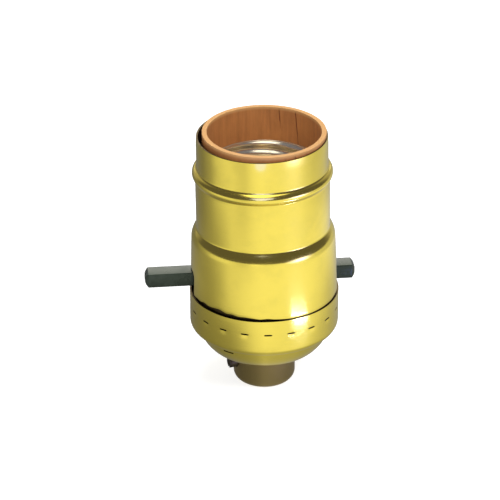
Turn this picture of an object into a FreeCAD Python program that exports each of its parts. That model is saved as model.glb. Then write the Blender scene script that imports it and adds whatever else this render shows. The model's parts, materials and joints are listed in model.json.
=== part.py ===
import FreeCAD, Part
import math
import os
import re

import Sketcher

# A push-through lamp holder: a spun brass shell over a moulded switch body, in a brass cap.
# Its origin is the centre of the hub's lower end, +Z runs up the holder's axis towards the
# lamp, and X runs along the push bar, whose long end is at -X.

VECTOR = FreeCAD.Vector

# name, value in millimetres (or degrees), what it measures
SIZES = [
    ("sheet", 0.4, "brass sheet of the shell and the cap"),
    ("cap_radius", 18.3, "outside of the cap's straight wall"),
    ("cap_rim", 25.1, "height of the cap's open rim"),
    ("belt_foot", 16.9, "height where the cap's straight wall starts to round in"),
    ("belt_round", 1.7, "outer rounding under the straight wall"),
    ("ledge_bevel", 0.4, "hollow bevel between that and the bowl"),
    ("bowl_bend", 8.0, "outer radius of the bowl's section"),
    ("bowl_foot", 8.5, "height of the bowl's underside"),
    ("bowl_steps", 3, "chords of the bowl's section"),
    ("crown_steps", 3, "chords of the bead's and of the shoulder's rounding"),
    ("round_steps", 2, "chords of a small rounding"),
    ("neck_radius", 7.64, "outside of the drawn neck that holds the hub"),
    ("neck_bevel", 0.8, "hollow bevel between bowl and neck"),
    ("neck_round", 2.2, "outer rounding at the neck's lower end"),
    ("slit_count", 20, "snap slits round the cap"),
    ("slit_length", 2.0, "length of a slit"),
    ("slit_width", 0.45, "height of a slit's opening"),
    ("slit_level", 21.4, "height of the row of slits"),
    ("lance_level", 14.1, "height of the lanced slit in the bowl"),
    ("lance_turn", 36.0, "turn from the set screw to the lanced slit, degrees"),
    ("lance_length", 3.0, "length of the lanced slit"),
    ("lance_width", 0.45, "opening of the lanced slit"),
    ("cap_turn", 15.0, "how far the cap is turned on the switch body, degrees"),
    ("bore_radius", 4.55, "wall of the hub's pipe thread, over its crests"),
    ("bore_chamfer", 0.5, "chamfer at both ends of the bore"),
    ("bushing_top", 9.6, "height of the bushing's upper end"),
    ("set_screw_radius", 1.45, "hub set screw"),
    ("set_screw_level", 5.6, "height of the set screw's axis"),
    ("set_screw_out", 9.4, "distance of the set screw's outer end from the axis"),
    ("set_screw_in", 5.0, "distance of the set screw's tip from the axis"),
    ("turning_gap", 0.05, "clearance round a screw or a pin that turns"),
    ("skirt_gap", 0.45, "clearance of the shell's skirt inside the cap"),
    ("hem_inset", 0.25, "how far the shell's hem lies inside the cap's outside"),
    ("hem_flare", 0.45, "how far the hem stands out from the shell's body"),
    ("shoulder_step", 1.29, "how far the body stands out from the barrel above it"),
    ("bead_stand", 0.74, "how far the bead stands out from the barrel"),
    ("mouth_draw", 0.37, "how far the mouth is drawn in from the barrel"),
    ("mouth_top", 66.3, "height of the shell's mouth"),
    ("bead_level", 56.8, "height of the bead's crest"),
    ("bead_round", 1.5, "outer radius of the bead's section"),
    ("bead_hollow", 0.7, "hollow on both sides of the bead"),
    ("shoulder_top", 42.9, "height where the shoulder starts"),
    ("shoulder_round", 4.5, "outer rounding of the shoulder"),
    ("shoulder_hollow", 1.0, "hollow above the shoulder"),
    ("hem_level", 26.0, "height where the shell turns in above the cap"),
    ("hem_bevel", 0.5, "bevel where the shell turns in"),
    ("skirt_foot", 17.8, "height of the skirt's lower edge"),
    ("lean_angle", 0.7, "how far the shell leans in the cap, degrees"),
    ("lean_level", 22.0, "height about which the shell leans"),
    ("liner_wall", 1.15, "wall of the fibre liner"),
    ("liner_gap", 0.59, "clearance between the fibre liner and the shell's mouth"),
    ("liner_top", 67.4, "height of the liner's rim"),
    ("body_gap", 0.3, "clearance between pieces that move apart"),
    ("lip_top", 58.6, "height of the screw shell's upper lip"),
    ("thread_gap", 0.3, "clearance between the screw shell and the fibre liner"),
    ("thread_rise", 0.75, "depth of the rolled thread"),
    ("thread_pitch", 3.629, "pitch of the lamp thread, seven turns to the inch"),
    ("thread_turns", 3, "rolled turns"),
    ("thread_sheet", 0.3, "aluminium sheet of the screw shell"),
    ("lip_height", 1.1, "plain lip above the first turn"),
    ("floor_ring", 3.7, "width of the screw shell's floor"),
    ("floor_bevel", 0.8, "bevel between the screw shell's wall and its floor"),
    ("block_gap", 0.6, "clearance between the switch body and the fibre liner"),
    ("flat_depth", 2.2, "how deep the switch body's two flats are cut"),
    ("block_top", 41.2, "height of the switch body's top, under the screw shell"),
    ("flange_inset", 0.6, "how far the foot flange stays inside the bowl's rim"),
    ("flange_depth", 1.7, "thickness of the foot flange"),
    ("wire_notch", 4.4, "width of the wire notches in the foot flange"),
    ("bar_length", 51.7, "push bar, end to end"),
    ("bar_width", 4.3, "push bar, across"),
    ("bar_depth", 3.6, "push bar, up and down"),
    ("bar_level", 29.2, "height of the push bar's axis"),
    ("bar_throw", 7.1, "travel of the push bar"),
    ("bar_bevel", 0.35, "bevel along the push bar's edges"),
    ("bar_tip", 0.8, "length of the push bar's tapered tips"),
    ("bar_tip_inset", 0.6, "how far the tips narrow all round"),
    ("bar_gap", 0.25, "clearance of the push bar in its channel"),
    ("slot_gap", 0.8, "clearance of the push bar in the shell's slots"),
    ("slot_corner", 1.0, "rounding of those slots' upper corners"),
    ("liner_slot_gap", 0.95, "clearance of the push bar in the liner's notches"),
    ("notch_half", 1.25, "half length of the notch in the push bar"),
    ("notch_width", 3.0, "width of that notch"),
    ("lever", 6.4, "rocker's pivot to the push bar's axis"),
    ("rocker_width", 2.2, "rocker, across"),
    ("rocker_tip", 0.9, "radius of the rocker's tip"),
    ("rocker_arm", 0.7, "thickness of the rocker's arms"),
    ("rocker_hub", 1.7, "radius of the rocker's hub"),
    ("rocker_foot", 4.5, "reach of the rocker's lower arm"),
    ("contact_reach", 1.6, "moving contact's face from the rocker's middle"),
    ("contact_depth", 1.2, "height of the moving contact"),
    ("contact_nose", 0.4, "rounding of the moving contact"),
    ("contact_width", 3.6, "moving contact, across"),
    ("pin_radius", 0.8, "rocker pin"),
    ("pin_length", 8.4, "rocker pin"),
    ("cavity_half", 4.3, "half length of the switch cavity"),
    ("cavity_gap", 0.7, "room under the swinging rocker"),
    ("strip", 0.5, "metal of the contact strips"),
    ("strip_gap", 0.1, "clearance of the strips in their slots"),
    ("tongue_foot", 18.5, "lower edge of the contact tongues"),
    ("tongue_depth", 3.8, "height of the contact tongues"),
    ("tongue_half_gap", 0.3, "half the gap between the two tongues"),
    ("strap_near", 3.4, "inner edge of the centre strap's leg"),
    ("strap_width", 1.5, "width of the centre strap's leg"),
    ("leaf_half", 2.0, "half width of the centre contact"),
    ("leaf_reach", 2.8, "reach of the centre contact's sprung end"),
    ("leaf", 0.4, "metal of the centre contact"),
    ("leaf_rise", 1.8, "how far the centre contact stands above its foot"),
    ("plate", 0.6, "metal of the terminal plates"),
    ("plate_half", 4.0, "half width of the terminal plates"),
    ("plate_foot", 18.0, "lower edge of the terminal plates"),
    ("plate_height", 9.0, "height of the terminal plates"),
    ("riser_half", 2.4, "half width of the neutral strip's riser"),
    ("tab_reach", 1.3, "reach of the neutral strip's tab past its rivet"),
    ("terminal_radius", 1.5, "terminal screw's shank"),
    ("terminal_length", 5.4, "terminal screw's shank"),
    ("terminal_head", 2.6, "radius of the terminal screw's head"),
    ("terminal_head_depth", 1.3, "thickness of the terminal screw's head"),
    ("terminal_bevel", 0.43, "bevel of the terminal screw's head"),
    ("driver_slot", 0.6, "width of the screwdriver slots"),
    ("driver_depth", 0.7, "depth of the screwdriver slots"),
    ("rivet_inset", 2.55, "screw shell's rivets inside its thread"),
    ("rivet_count", 3, "rivets of the screw shell"),
    ("rivet_radius", 0.8, "rivet shanks"),
    ("rivet_head", 1.15, "radius of a rivet's head"),
    ("rivet_rise", 0.6, "height of a rivet's head"),
    ("rivet_length", 8.0, "rivet shanks"),
    ("eyelet_radius", 0.5, "shank of the centre contact's rivet"),
    ("eyelet_head", 0.75, "radius of that rivet's head"),
    ("eyelet_length", 7.0, "depth of that rivet in the switch body"),
    ("screw_inset", 4.6, "block screws inside the switch body's round sides"),
    ("screw_back", 5.2, "block screws' distance from the middle along Y"),
    ("screw_radius", 1.2, "block screws' shanks"),
    ("screw_head", 2.1, "radius of the block screws' heads"),
    ("screw_head_depth", 1.4, "thickness of the block screws' heads"),
    ("screw_top", 38.0, "height of the block screws' ends"),
    ("fibre", 0.5, "fibre sheet of the cap's liner"),
    ("fibre_gap", 0.05, "clearance under the cap's liner"),
]

# sizes worked out from others: name, expression, what it measures
WORKED_OUT = [
    ("hem_radius", "cap_radius - hem_inset", "outside of the shell just above the cap"),
    ("skirt_radius", "cap_radius - sheet - skirt_gap", "outside of the skirt in the cap"),
    ("body_radius", "hem_radius - hem_flare", "outside of the shell under the shoulder"),
    ("barrel_radius", "body_radius - shoulder_step", "outside between bead and shoulder"),
    ("bead_radius", "barrel_radius + bead_stand", "outside of the bead's crest"),
    ("mouth_radius", "barrel_radius - mouth_draw", "outside of the shell above its bead"),
    ("liner_outside", "mouth_radius - sheet - liner_gap", "outside of the fibre liner"),
    ("liner_radius", "liner_outside - liner_wall", "bore of the fibre liner"),
    ("thread_root", "liner_radius - thread_gap - thread_sheet", "root of the lamp thread"),
    ("thread_radius", "thread_root - thread_rise", "inner crest of the lamp thread"),
    ("floor_hole", "thread_radius - floor_ring", "hole in the screw shell's floor"),
    ("rivet_circle", "thread_radius - rivet_inset", "screw shell's rivets from the axis"),
    ("block_radius", "liner_radius - block_gap", "round sides of the switch body"),
    ("block_flat", "block_radius - flat_depth", "its flats from the axis"),
    ("bowl_top", "belt_foot - belt_round - ledge_bevel", "height of the bowl's rim"),
    ("bowl_radius", "cap_radius - belt_round - ledge_bevel", "outside of the bowl's rim"),
    ("flange_radius", "bowl_radius - flange_inset", "foot flange on the cap's liner"),
    ("flange_top", "bowl_top + flange_depth", "height of the foot flange's top"),
    ("channel_floor", "bar_level - bar_depth / 2 - bar_gap", "floor of the bar's channel"),
    ("channel_half", "bar_width / 2 + bar_gap", "half width of the bar's channel"),
    ("parting", "bar_level + bar_depth / 2 + bar_gap", "plane between the two blocks"),
    ("pivot", "bar_level - lever", "height of the rocker's pin"),
    ("cavity_floor", "pivot - rocker_foot - cavity_gap", "floor of the switch cavity"),
    ("tongue_top", "tongue_foot + tongue_depth", "upper edge of the contact tongues"),
    ("terminal_level", "plate_foot + plate_height / 2", "height of the terminal screws"),
    ("plate_face", "block_flat + plate", "outer face of the terminal plates"),
    ("screw_across", "block_radius - screw_inset", "block screws from the middle"),
    ("riser_inner", "rivet_circle - tab_reach", "inner end of the neutral strip's tab"),
]

doc = FreeCAD.newDocument("lamp_holder")
sizes = doc.addObject("Spreadsheet::Sheet", "sizes")


def fill_sheet():
    for row, (alias, value, meaning) in enumerate(SIZES, start=1):
        sizes.set(f"A{row}", alias)
        sizes.set(f"B{row}", str(value))
        sizes.set(f"C{row}", meaning)
        sizes.setAlias(f"B{row}", alias)
    doc.recompute()


def any_of(names):
    return re.compile(r"\b(" + "|".join(names) + r")\b")


ALIAS = any_of(alias for alias, _, _ in SIZES)
DERIVED = any_of(name for name, _, _ in WORKED_OUT)
FORMULA = {name: f"({expression})" for name, expression, _ in WORKED_OUT}


def unfold(text):
    """The expression with its worked-out sizes written out in the sheet's own."""
    text = str(text)
    while DERIVED.search(text):
        text = DERIVED.sub(lambda found: FORMULA[found.group()], text)
    return text


def bound(text):
    """An expression over the sheet's sizes, as other objects of the document read it."""
    return ALIAS.sub(r"sizes.\1", unfold(text))


def number(text):
    """The present value of such an expression."""
    found = sizes.evalExpression(unfold(text))
    return float(getattr(found, "Value", found))


def new_body(name):
    body = doc.addObject("PartDesign::Body", name)
    body.Label = name
    return body


def new_sketch(body, plane, lift="0"):
    """A sketch on one of the body's own planes, lifted along the plane's normal."""
    sketch = body.newObject("Sketcher::SketchObject", "Sketch")
    origin_plane = next(f for f in body.Origin.OriginFeatures if f.Role == plane)
    sketch.AttachmentSupport = [(origin_plane, "")]
    sketch.MapMode = "FlatFace"
    if lift != "0":
        sketch.setExpression("AttachmentOffset.Base.z", bound(lift))
    return sketch


def pin_point(sketch, geometry, end, across, up):
    """Ties a point of the sketch to its place across and up from the origin."""
    for direction, text in (("DistanceX", across), ("DistanceY", up)):
        place = Sketcher.Constraint(direction, -1, 1, geometry, end, number(text))
        index = sketch.addConstraint(place)
        sketch.setExpression(f"Constraints[{index}]", bound(text))


def arc_between(first, last, radius, turn):
    """The arc of under half a turn from first to last, turning left (+1) or right (-1)."""
    chord = last - first
    reach = math.sqrt(max(radius**2 - (chord.Length / 2) ** 2, 0.0))
    side = VECTOR(-chord.y, chord.x, 0).normalize() * turn
    centre = (first + last) / 2 + side * reach
    start, end = (first, last) if turn > 0 else (last, first)
    angles = [math.atan2((p - centre).y, (p - centre).x) for p in (start, end)]
    if angles[1] < angles[0]:
        angles[1] += 2 * math.pi
    return Part.ArcOfCircle(Part.Circle(centre, VECTOR(0, 0, 1), radius), *angles)


def add_arc(sketch, first, last, radius, turn, guide=False):
    """Adds an arc and returns its ends, first and last, as (geometry, point)."""
    index = sketch.addGeometry(arc_between(first, last, number(radius), turn), guide)
    held = sketch.addConstraint(Sketcher.Constraint("Radius", index, number(radius)))
    sketch.setExpression(f"Constraints[{held}]", bound(radius))
    return ((index, 1), (index, 2)) if turn > 0 else ((index, 2), (index, 1))


def add_chords(sketch, first, last, radius, turn, steps):
    """Adds equal chords of an arc, which itself stays in the sketch as their guide."""
    guide_first, guide_last = add_arc(sketch, first, last, radius, turn, guide=True)
    arc = arc_between(first, last, number(radius), turn)
    spots = arc.discretize(round(number(steps)) + 1)[:: turn]
    chords = [
        sketch.addGeometry(Part.LineSegment(here, there), False)
        for here, there in zip(spots, spots[1:])
    ]
    sketch.addConstraint(Sketcher.Constraint("Coincident", *guide_first, chords[0], 1))
    sketch.addConstraint(Sketcher.Constraint("Coincident", *guide_last, chords[-1], 2))
    for before, after in zip(chords, chords[1:]):
        sketch.addConstraint(Sketcher.Constraint("Coincident", before, 2, after, 1))
        sketch.addConstraint(Sketcher.Constraint("PointOnObject", after, 1, guide_first[0]))
        sketch.addConstraint(Sketcher.Constraint("Equal", before, after))
    return (chords[0], 1), (chords[-1], 2)


def outline(sketch, corners):
    """A closed loop. A corner is (across, up), reached by a line, or
    (across, up, radius, turn), reached by an arc that turns left (+1) or right (-1), or
    (across, up, radius, turn, steps), reached by that many chords of such an arc."""
    points = [VECTOR(number(c[0]), number(c[1]), 0) for c in corners]
    ends = []
    for i, corner in enumerate(corners):
        first, last = points[i - 1], points[i]
        if len(corner) == 5:
            ends.append(add_chords(sketch, first, last, *corner[2:]))
        elif len(corner) == 4:
            ends.append(add_arc(sketch, first, last, *corner[2:]))
        else:
            index = sketch.addGeometry(Part.LineSegment(first, last), False)
            ends.append(((index, 1), (index, 2)))
    for i, (_, end) in enumerate(ends):
        start = ends[(i + 1) % len(ends)][0]
        sketch.addConstraint(Sketcher.Constraint("Coincident", *end, *start))
        pin_point(sketch, *end, corners[i][0], corners[i][1])


def rectangle(sketch, left, right, low, high):
    outline(sketch, [(left, low), (right, low), (right, high), (left, high)])


def disc(sketch, across, up, radius):
    circle = Part.Circle(VECTOR(number(across), number(up), 0), VECTOR(0, 0, 1), number(radius))
    index = sketch.addGeometry(circle, False)
    held = sketch.addConstraint(Sketcher.Constraint("Radius", index, number(radius)))
    sketch.setExpression(f"Constraints[{held}]", bound(radius))
    pin_point(sketch, index, 3, across, up)


def revolve(body, sketch, kind="PartDesign::Revolution"):
    feature = body.newObject(kind, "Turned")
    feature.Profile = sketch
    feature.ReferenceAxis = (sketch, ["V_Axis"])
    feature.Angle = 360
    return feature


def extrude(body, sketch, kind, length, backwards=False, both_ways=False):
    """A Pad or a Pocket. length may be None, to cut through everything."""
    feature = body.newObject(kind, "Cut" if kind.endswith("Pocket") else "Raised")
    feature.Profile = sketch
    if both_ways:
        feature.SideType = "Symmetric"
    feature.Reversed = backwards
    if length is None:
        feature.Type = "ThroughAll"
    else:
        feature.setExpression("Length", bound(length))
    return feature


def pad(body, sketch, length, **how):
    return extrude(body, sketch, "PartDesign::Pad", length, **how)


def pocket(body, sketch, length, **how):
    """A Pocket, checked to have taken something away."""
    doc.recompute()
    before = body.Shape.Volume
    feature = extrude(body, sketch, "PartDesign::Pocket", length, **how)
    doc.recompute()
    if not body.Shape.Volume < before:
        raise ValueError(f"{body.Label}: a pocket cut nothing")
    return feature


def round_about(body, features, count):
    """Repeats features round the body's Z axis."""
    pattern = body.newObject("PartDesign::PolarPattern", "Round")
    pattern.Originals = features
    pattern.Axis = (next(f for f in body.Origin.OriginFeatures if f.Role == "Z_Axis"), [""])
    pattern.Angle = 360
    pattern.setExpression("Occurrences", bound(count))
    body.Tip = pattern


def place(body, across="0", along="0", up="0"):
    for axis, text in (("x", across), ("y", along), ("z", up)):
        if text != "0":
            body.setExpression(f"Placement.Base.{axis}", bound(text))


def turn_body(body, axis, angle):
    """Turns a body about an axis through its own origin by an expression in degrees."""
    body.Placement.Rotation = FreeCAD.Rotation(axis, number(angle))
    body.setExpression("Placement.Rotation.Angle", bound(angle))


def shell_steps(wall, crest, level, hollow, crown, downwards):
    """Corners of one half of a rolled bead or shoulder. A short straight flank leaves the
    wall and meets the crown's rounding, whose crest lies at the given level. The flank's
    ends are where a hollow rounding would touch wall and crown, so it lies nearly on the
    crown's tangent. hollow and crown are radii, as expressions."""
    rise = f"({crest} - {wall})"
    reach = f"({hollow} + {crown})"
    sine = f"sqrt(1 - (1 - {rise} / {reach}) ^ 2)"
    sign = "-" if downwards else "+"
    meeting = (f"{wall} + {hollow} * {rise} / {reach}", f"{level} {sign} {crown} * {sine}")
    start = (wall, f"{level} {sign} {reach} * {sine}")
    return start, meeting


# ---- cap -------------------------------------------------------------------------------


def cap_side(inset):
    """The cap's section from its rim down to the lower end of its neck, as corners;
    inset is how far the surface lies inside the outer one."""
    low = "(bowl_foot - neck_bevel)"
    return [
        (f"cap_radius - {inset}", "cap_rim"),
        (f"cap_radius - {inset}", "belt_foot"),
        ("cap_radius - belt_round", f"belt_foot - belt_round + {inset}",
         f"belt_round - {inset}", -1, "round_steps"),
        (f"bowl_radius - {inset}", "bowl_top"),
        ("neck_radius + neck_bevel", f"bowl_foot + {inset}",
         f"bowl_bend - {inset}", -1, "bowl_steps"),
        (f"neck_radius - {inset}", low),
        (f"neck_radius - {inset}", "neck_round"),
        ("neck_radius - neck_round", inset, f"neck_round - {inset}", -1, "round_steps"),
    ]


def back_along(corners):
    """The same corners walked the other way, with their arcs turned to match."""
    walked = [corners[-1][:2]]
    for here, before in zip(corners[::-1], corners[-2::-1]):
        bend = (here[2], -here[3], *here[4:]) if len(here) > 2 else ()
        walked.append((*before[:2], *bend))
    return walked


def make_cap():
    body = new_body("cap")
    section = new_sketch(body, "XZ_Plane")
    outline(section, cap_side("0") + back_along(cap_side("sheet")))
    revolve(body, section)
    slit = new_sketch(body, "YZ_Plane")
    rectangle(slit, "-slit_length / 2", "slit_length / 2",
              "slit_level - slit_width / 2", "slit_level + slit_width / 2")
    row = pocket(body, slit, "cap_radius + sheet", backwards=True)
    round_about(body, [row], "slit_count")
    lance = new_sketch(body, "YZ_Plane")
    lance.AttachmentOffset = FreeCAD.Placement(
        VECTOR(0, 0, 0), FreeCAD.Rotation(VECTOR(0, 1, 0), number("lance_turn")))
    lance.setExpression("AttachmentOffset.Rotation.Angle", bound("lance_turn"))
    rectangle(lance, "-lance_length / 2", "lance_length / 2",
              "lance_level - lance_width / 2", "lance_level + lance_width / 2")
    pocket(body, lance, "cap_radius")
    drill = new_sketch(body, "YZ_Plane")
    disc(drill, "0", "set_screw_level", "set_screw_radius + turning_gap")
    pocket(body, drill, "cap_radius")
    turn_body(body, VECTOR(0, 0, 1), "cap_turn")
    return body


def make_cap_liner():
    """The fibre cup that lines the bowl. The switch body's flange stands on its rim."""
    body = new_body("cap_liner")
    section = new_sketch(body, "XZ_Plane")
    under = "(sheet + fibre_gap)"
    over = "(sheet + fibre_gap + fibre)"
    outline(section, [
        ("neck_radius + neck_bevel", f"bowl_foot + {over}",
         f"bowl_bend - {over}", -1, "bowl_steps"),
        ("neck_radius + neck_bevel", f"bowl_foot + {under}"),
        (f"bowl_radius - {under}", "bowl_top", f"bowl_bend - {under}", 1, "bowl_steps"),
        (f"bowl_radius - {over}", "bowl_top"),
    ])
    revolve(body, section)
    return body


def make_hub_bushing():
    """The bushing that fills the cap's neck, bored for the lamp's threaded pipe."""
    body = new_body("hub_bushing")
    section = new_sketch(body, "XZ_Plane")
    outline(section, [
        ("bore_radius", "0"),
        ("neck_radius - neck_round", "0"),
        ("neck_radius - neck_round", "sheet"),
        ("neck_radius - sheet", "neck_round", "neck_round - sheet", 1, "round_steps"),
        ("neck_radius - sheet", "bushing_top"),
        ("bore_radius + bore_chamfer", "bushing_top"),
        ("bore_radius", "bushing_top - bore_chamfer"),
    ])
    revolve(body, section)
    drill = new_sketch(body, "YZ_Plane")
    disc(drill, "0", "set_screw_level", "set_screw_radius + turning_gap")
    pocket(body, drill, "cap_radius")
    turn_body(body, VECTOR(0, 0, 1), "cap_turn")
    return body


def make_hub_set_screw():
    """The slotted screw through the neck and the bushing that grips the pipe."""
    body = new_body("hub_set_screw")
    shank = new_sketch(body, "YZ_Plane", "-set_screw_in")
    disc(shank, "0", "set_screw_level", "set_screw_radius")
    pad(body, shank, "set_screw_out - set_screw_in", backwards=True)
    slot = new_sketch(body, "YZ_Plane", "-set_screw_out")
    rectangle(slot, "-driver_slot / 2", "driver_slot / 2",
              "set_screw_level - 2 * set_screw_radius", "set_screw_level + 2 * set_screw_radius")
    pocket(body, slot, "driver_depth", backwards=True)
    turn_body(body, VECTOR(0, 0, 1), "cap_turn")
    return body


# ---- shell and liner -------------------------------------------------------------------


def shell_side(inset):
    """The brass shell's section from its mouth down to its skirt, as corners."""
    hollow, crown = f"(bead_hollow + {inset})", f"(bead_round - {inset})"
    crest = f"(bead_radius - {inset})"
    above, over = shell_steps(f"(mouth_radius - {inset})", crest, "bead_level",
                              hollow, crown, downwards=False)
    below, under = shell_steps(f"(barrel_radius - {inset})", crest, "bead_level",
                               hollow, crown, downwards=True)
    step = "(body_radius - barrel_radius)"
    reach = "(shoulder_hollow + shoulder_round)"
    shoulder_foot = f"(shoulder_top - {reach} * sqrt(1 - (1 - {step} / {reach}) ^ 2))"
    start, middle = shell_steps(f"(barrel_radius - {inset})", f"(body_radius - {inset})",
                                shoulder_foot, f"(shoulder_hollow + {inset})",
                                f"(shoulder_round - {inset})", downwards=False)
    web = f"hem_level - hem_bevel + {inset}"
    return [
        (f"mouth_radius - {inset}", "mouth_top"),
        above,
        over,
        (*under, crown, -1, "crown_steps"),
        below,
        start,
        middle,
        (f"body_radius - {inset}", shoulder_foot,
         f"(shoulder_round - {inset})", -1, "crown_steps"),
        (f"hem_radius - {inset}", "hem_level"),
        ("hem_radius - hem_bevel", web),
        (f"skirt_radius - {inset}", web),
        (f"skirt_radius - {inset}", "skirt_foot"),
    ]


def bar_slots(body, foot, gap, corner):
    """Cuts the two slots, open below, that let a sleeve down over the push bar."""
    slot = new_sketch(body, "YZ_Plane")
    half = f"(bar_width / 2 + {gap})"
    arch = f"(bar_level + bar_depth / 2 + {gap})"
    outline(slot, [
        (f"-{half}", f"{foot} - sheet"),
        (half, f"{foot} - sheet"),
        (half, f"{arch} - {corner}"),
        (f"{half} - {corner}", arch, corner, 1),
        (f"{corner} - {half}", arch),
        (f"-{half}", f"{arch} - {corner}", corner, 1),
    ])
    pocket(body, slot, "4 * cap_radius", both_ways=True)


def make_outer_shell():
    body = new_body("outer_shell")
    section = new_sketch(body, "XZ_Plane")
    outline(section, shell_side("0") + back_along(shell_side("sheet")))
    revolve(body, section)
    bar_slots(body, "skirt_foot", "slot_gap", "slot_corner")
    turn_body(body, VECTOR(0, -1, 0), "lean_angle")
    place(body, across="lean_level * sin(lean_angle)",
          up="lean_level * (1 - cos(lean_angle))")
    return body


def make_shell_liner():
    """The fibre tube between the shell and the live parts, notched for the bar."""
    body = new_body("shell_liner")
    section = new_sketch(body, "XZ_Plane")
    foot = "(flange_top + body_gap)"
    rectangle(section, "liner_radius", "liner_outside", foot, "liner_top")
    revolve(body, section)
    bar_slots(body, foot, "liner_slot_gap", "slot_corner")
    return body


# ---- screw shell -----------------------------------------------------------------------


def make_screw_shell():
    """The rolled aluminium shell that takes the lamp's screw cap. Its lip and its roots
    lie outside, its crests inside, and its floor is riveted to the switch body."""
    body = new_body("screw_shell")
    section = new_sketch(body, "XZ_Plane")
    side = [("thread_root", "lip_top")]
    for turn in range(round(number("thread_turns"))):
        side += [
            ("thread_root", f"lip_top - lip_height - {turn} * thread_pitch"),
            ("thread_radius", f"lip_top - lip_height - ({turn} + 1 / 2) * thread_pitch"),
        ]
    side += [
        ("thread_radius", "block_top + thread_sheet + floor_bevel"),
        ("thread_radius - floor_bevel", "block_top + thread_sheet"),
        ("floor_hole", "block_top + thread_sheet"),
    ]
    outside = [(f"{across} + thread_sheet", up) for across, up in side[:-2]]
    under = [("thread_radius + thread_sheet - floor_bevel", "block_top"),
             ("floor_hole", "block_top")]
    outline(section, outside + under + side[::-1])
    revolve(body, section)
    rivet = new_sketch(body, "XY_Plane", "block_top + thread_sheet")
    disc(rivet, "0", "rivet_circle", "rivet_radius")
    round_about(body, [pocket(body, rivet, "thread_sheet")], "rivet_count")
    return body


def make_screw_shell_rivets():
    body = new_body("screw_shell_rivets")
    body.AllowCompound = True
    over = "(block_top + thread_sheet)"
    head = new_sketch(body, "XY_Plane", over)
    disc(head, "0", "rivet_circle", "rivet_head")
    heads = pad(body, head, "rivet_rise")
    shank = new_sketch(body, "XY_Plane", over)
    disc(shank, "0", "rivet_circle", "rivet_radius")
    shanks = pad(body, shank, "rivet_length", backwards=True)
    doc.recompute()
    round_about(body, [heads, shanks], "rivet_count")
    return body


# ---- switch body -----------------------------------------------------------------------


def double_d(sketch):
    """A round outline with two flats that face +Y and -Y."""
    corner = "sqrt(block_radius ^ 2 - block_flat ^ 2)"
    outline(sketch, [
        (f"-{corner}", "-block_flat", "block_radius", 1),
        (corner, "-block_flat"),
        (corner, "block_flat", "block_radius", 1),
        (f"-{corner}", "block_flat"),
    ])


def strap_slot_sides():
    """The near and far side, along X, of the slot that the centre strap stands in."""
    return "-cavity_half - strip_gap", "strip + strip_gap - cavity_half"


def make_lower_block():
    """The lower half of the switch body: foot flange, channel of the push bar, cavity of
    the rocker, and the slots, holes and seats of the metal pieces."""
    body = new_body("lower_block")
    core = new_sketch(body, "XY_Plane", "bowl_top")
    double_d(core)
    pad(body, core, "parting - bowl_top")
    flange = new_sketch(body, "XY_Plane", "bowl_top")
    disc(flange, "0", "0", "flange_radius")
    pad(body, flange, "flange_depth")
    channel = new_sketch(body, "YZ_Plane")
    rectangle(channel, "-channel_half", "channel_half", "channel_floor", "block_top")
    pocket(body, channel, "4 * block_radius", both_ways=True)
    cavity = new_sketch(body, "XY_Plane", "parting")
    rectangle(cavity, "-cavity_half", "cavity_half", "-channel_half", "channel_half")
    pocket(body, cavity, "parting - cavity_floor")
    cross = new_sketch(body, "XZ_Plane")
    disc(cross, "0", "pivot", "pin_radius")
    pocket(body, cross, "pin_length", both_ways=True)
    left, right = strap_slot_sides()
    low, high = "tongue_foot - strip_gap", "tongue_top + strip_gap"
    for reach, backwards in (("block_flat + plate", True),
                             ("strap_near + strap_width + strip_gap", False)):
        tongue = new_sketch(body, "XZ_Plane")
        rectangle(tongue, left, right, low, high)
        pocket(body, tongue, reach, backwards=backwards)
    leg = new_sketch(body, "XY_Plane", "parting")
    rectangle(leg, left, right, "strap_near - strip_gap", "strap_near + strap_width + strip_gap")
    pocket(body, leg, "parting - tongue_foot + strip_gap")
    for side, backwards in (("", False), ("-", True)):
        hole = new_sketch(body, "XZ_Plane", f"{side}block_flat")
        disc(hole, "0", "terminal_level", "terminal_radius + turning_gap")
        pocket(body, hole, "terminal_length - plate + body_gap", backwards=backwards)
    drilled = new_sketch(body, "XY_Plane", "bowl_top")
    counterbores = new_sketch(body, "XY_Plane", "bowl_top")
    notches = new_sketch(body, "XY_Plane", "bowl_top")
    for side in ("-", ""):
        disc(drilled, f"{side}screw_across", "screw_back", "screw_radius")
        disc(counterbores, f"{side}screw_across", "screw_back", "screw_head")
    rectangle(notches, "-wire_notch / 2", "wire_notch / 2", "block_flat", "2 * flange_radius")
    rectangle(notches, "-wire_notch / 2", "wire_notch / 2", "-2 * flange_radius", "-block_flat")
    pocket(body, drilled, "parting - bowl_top", backwards=True)
    pocket(body, counterbores, "screw_head_depth", backwards=True)
    pocket(body, notches, "flange_depth", backwards=True)
    return body


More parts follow.
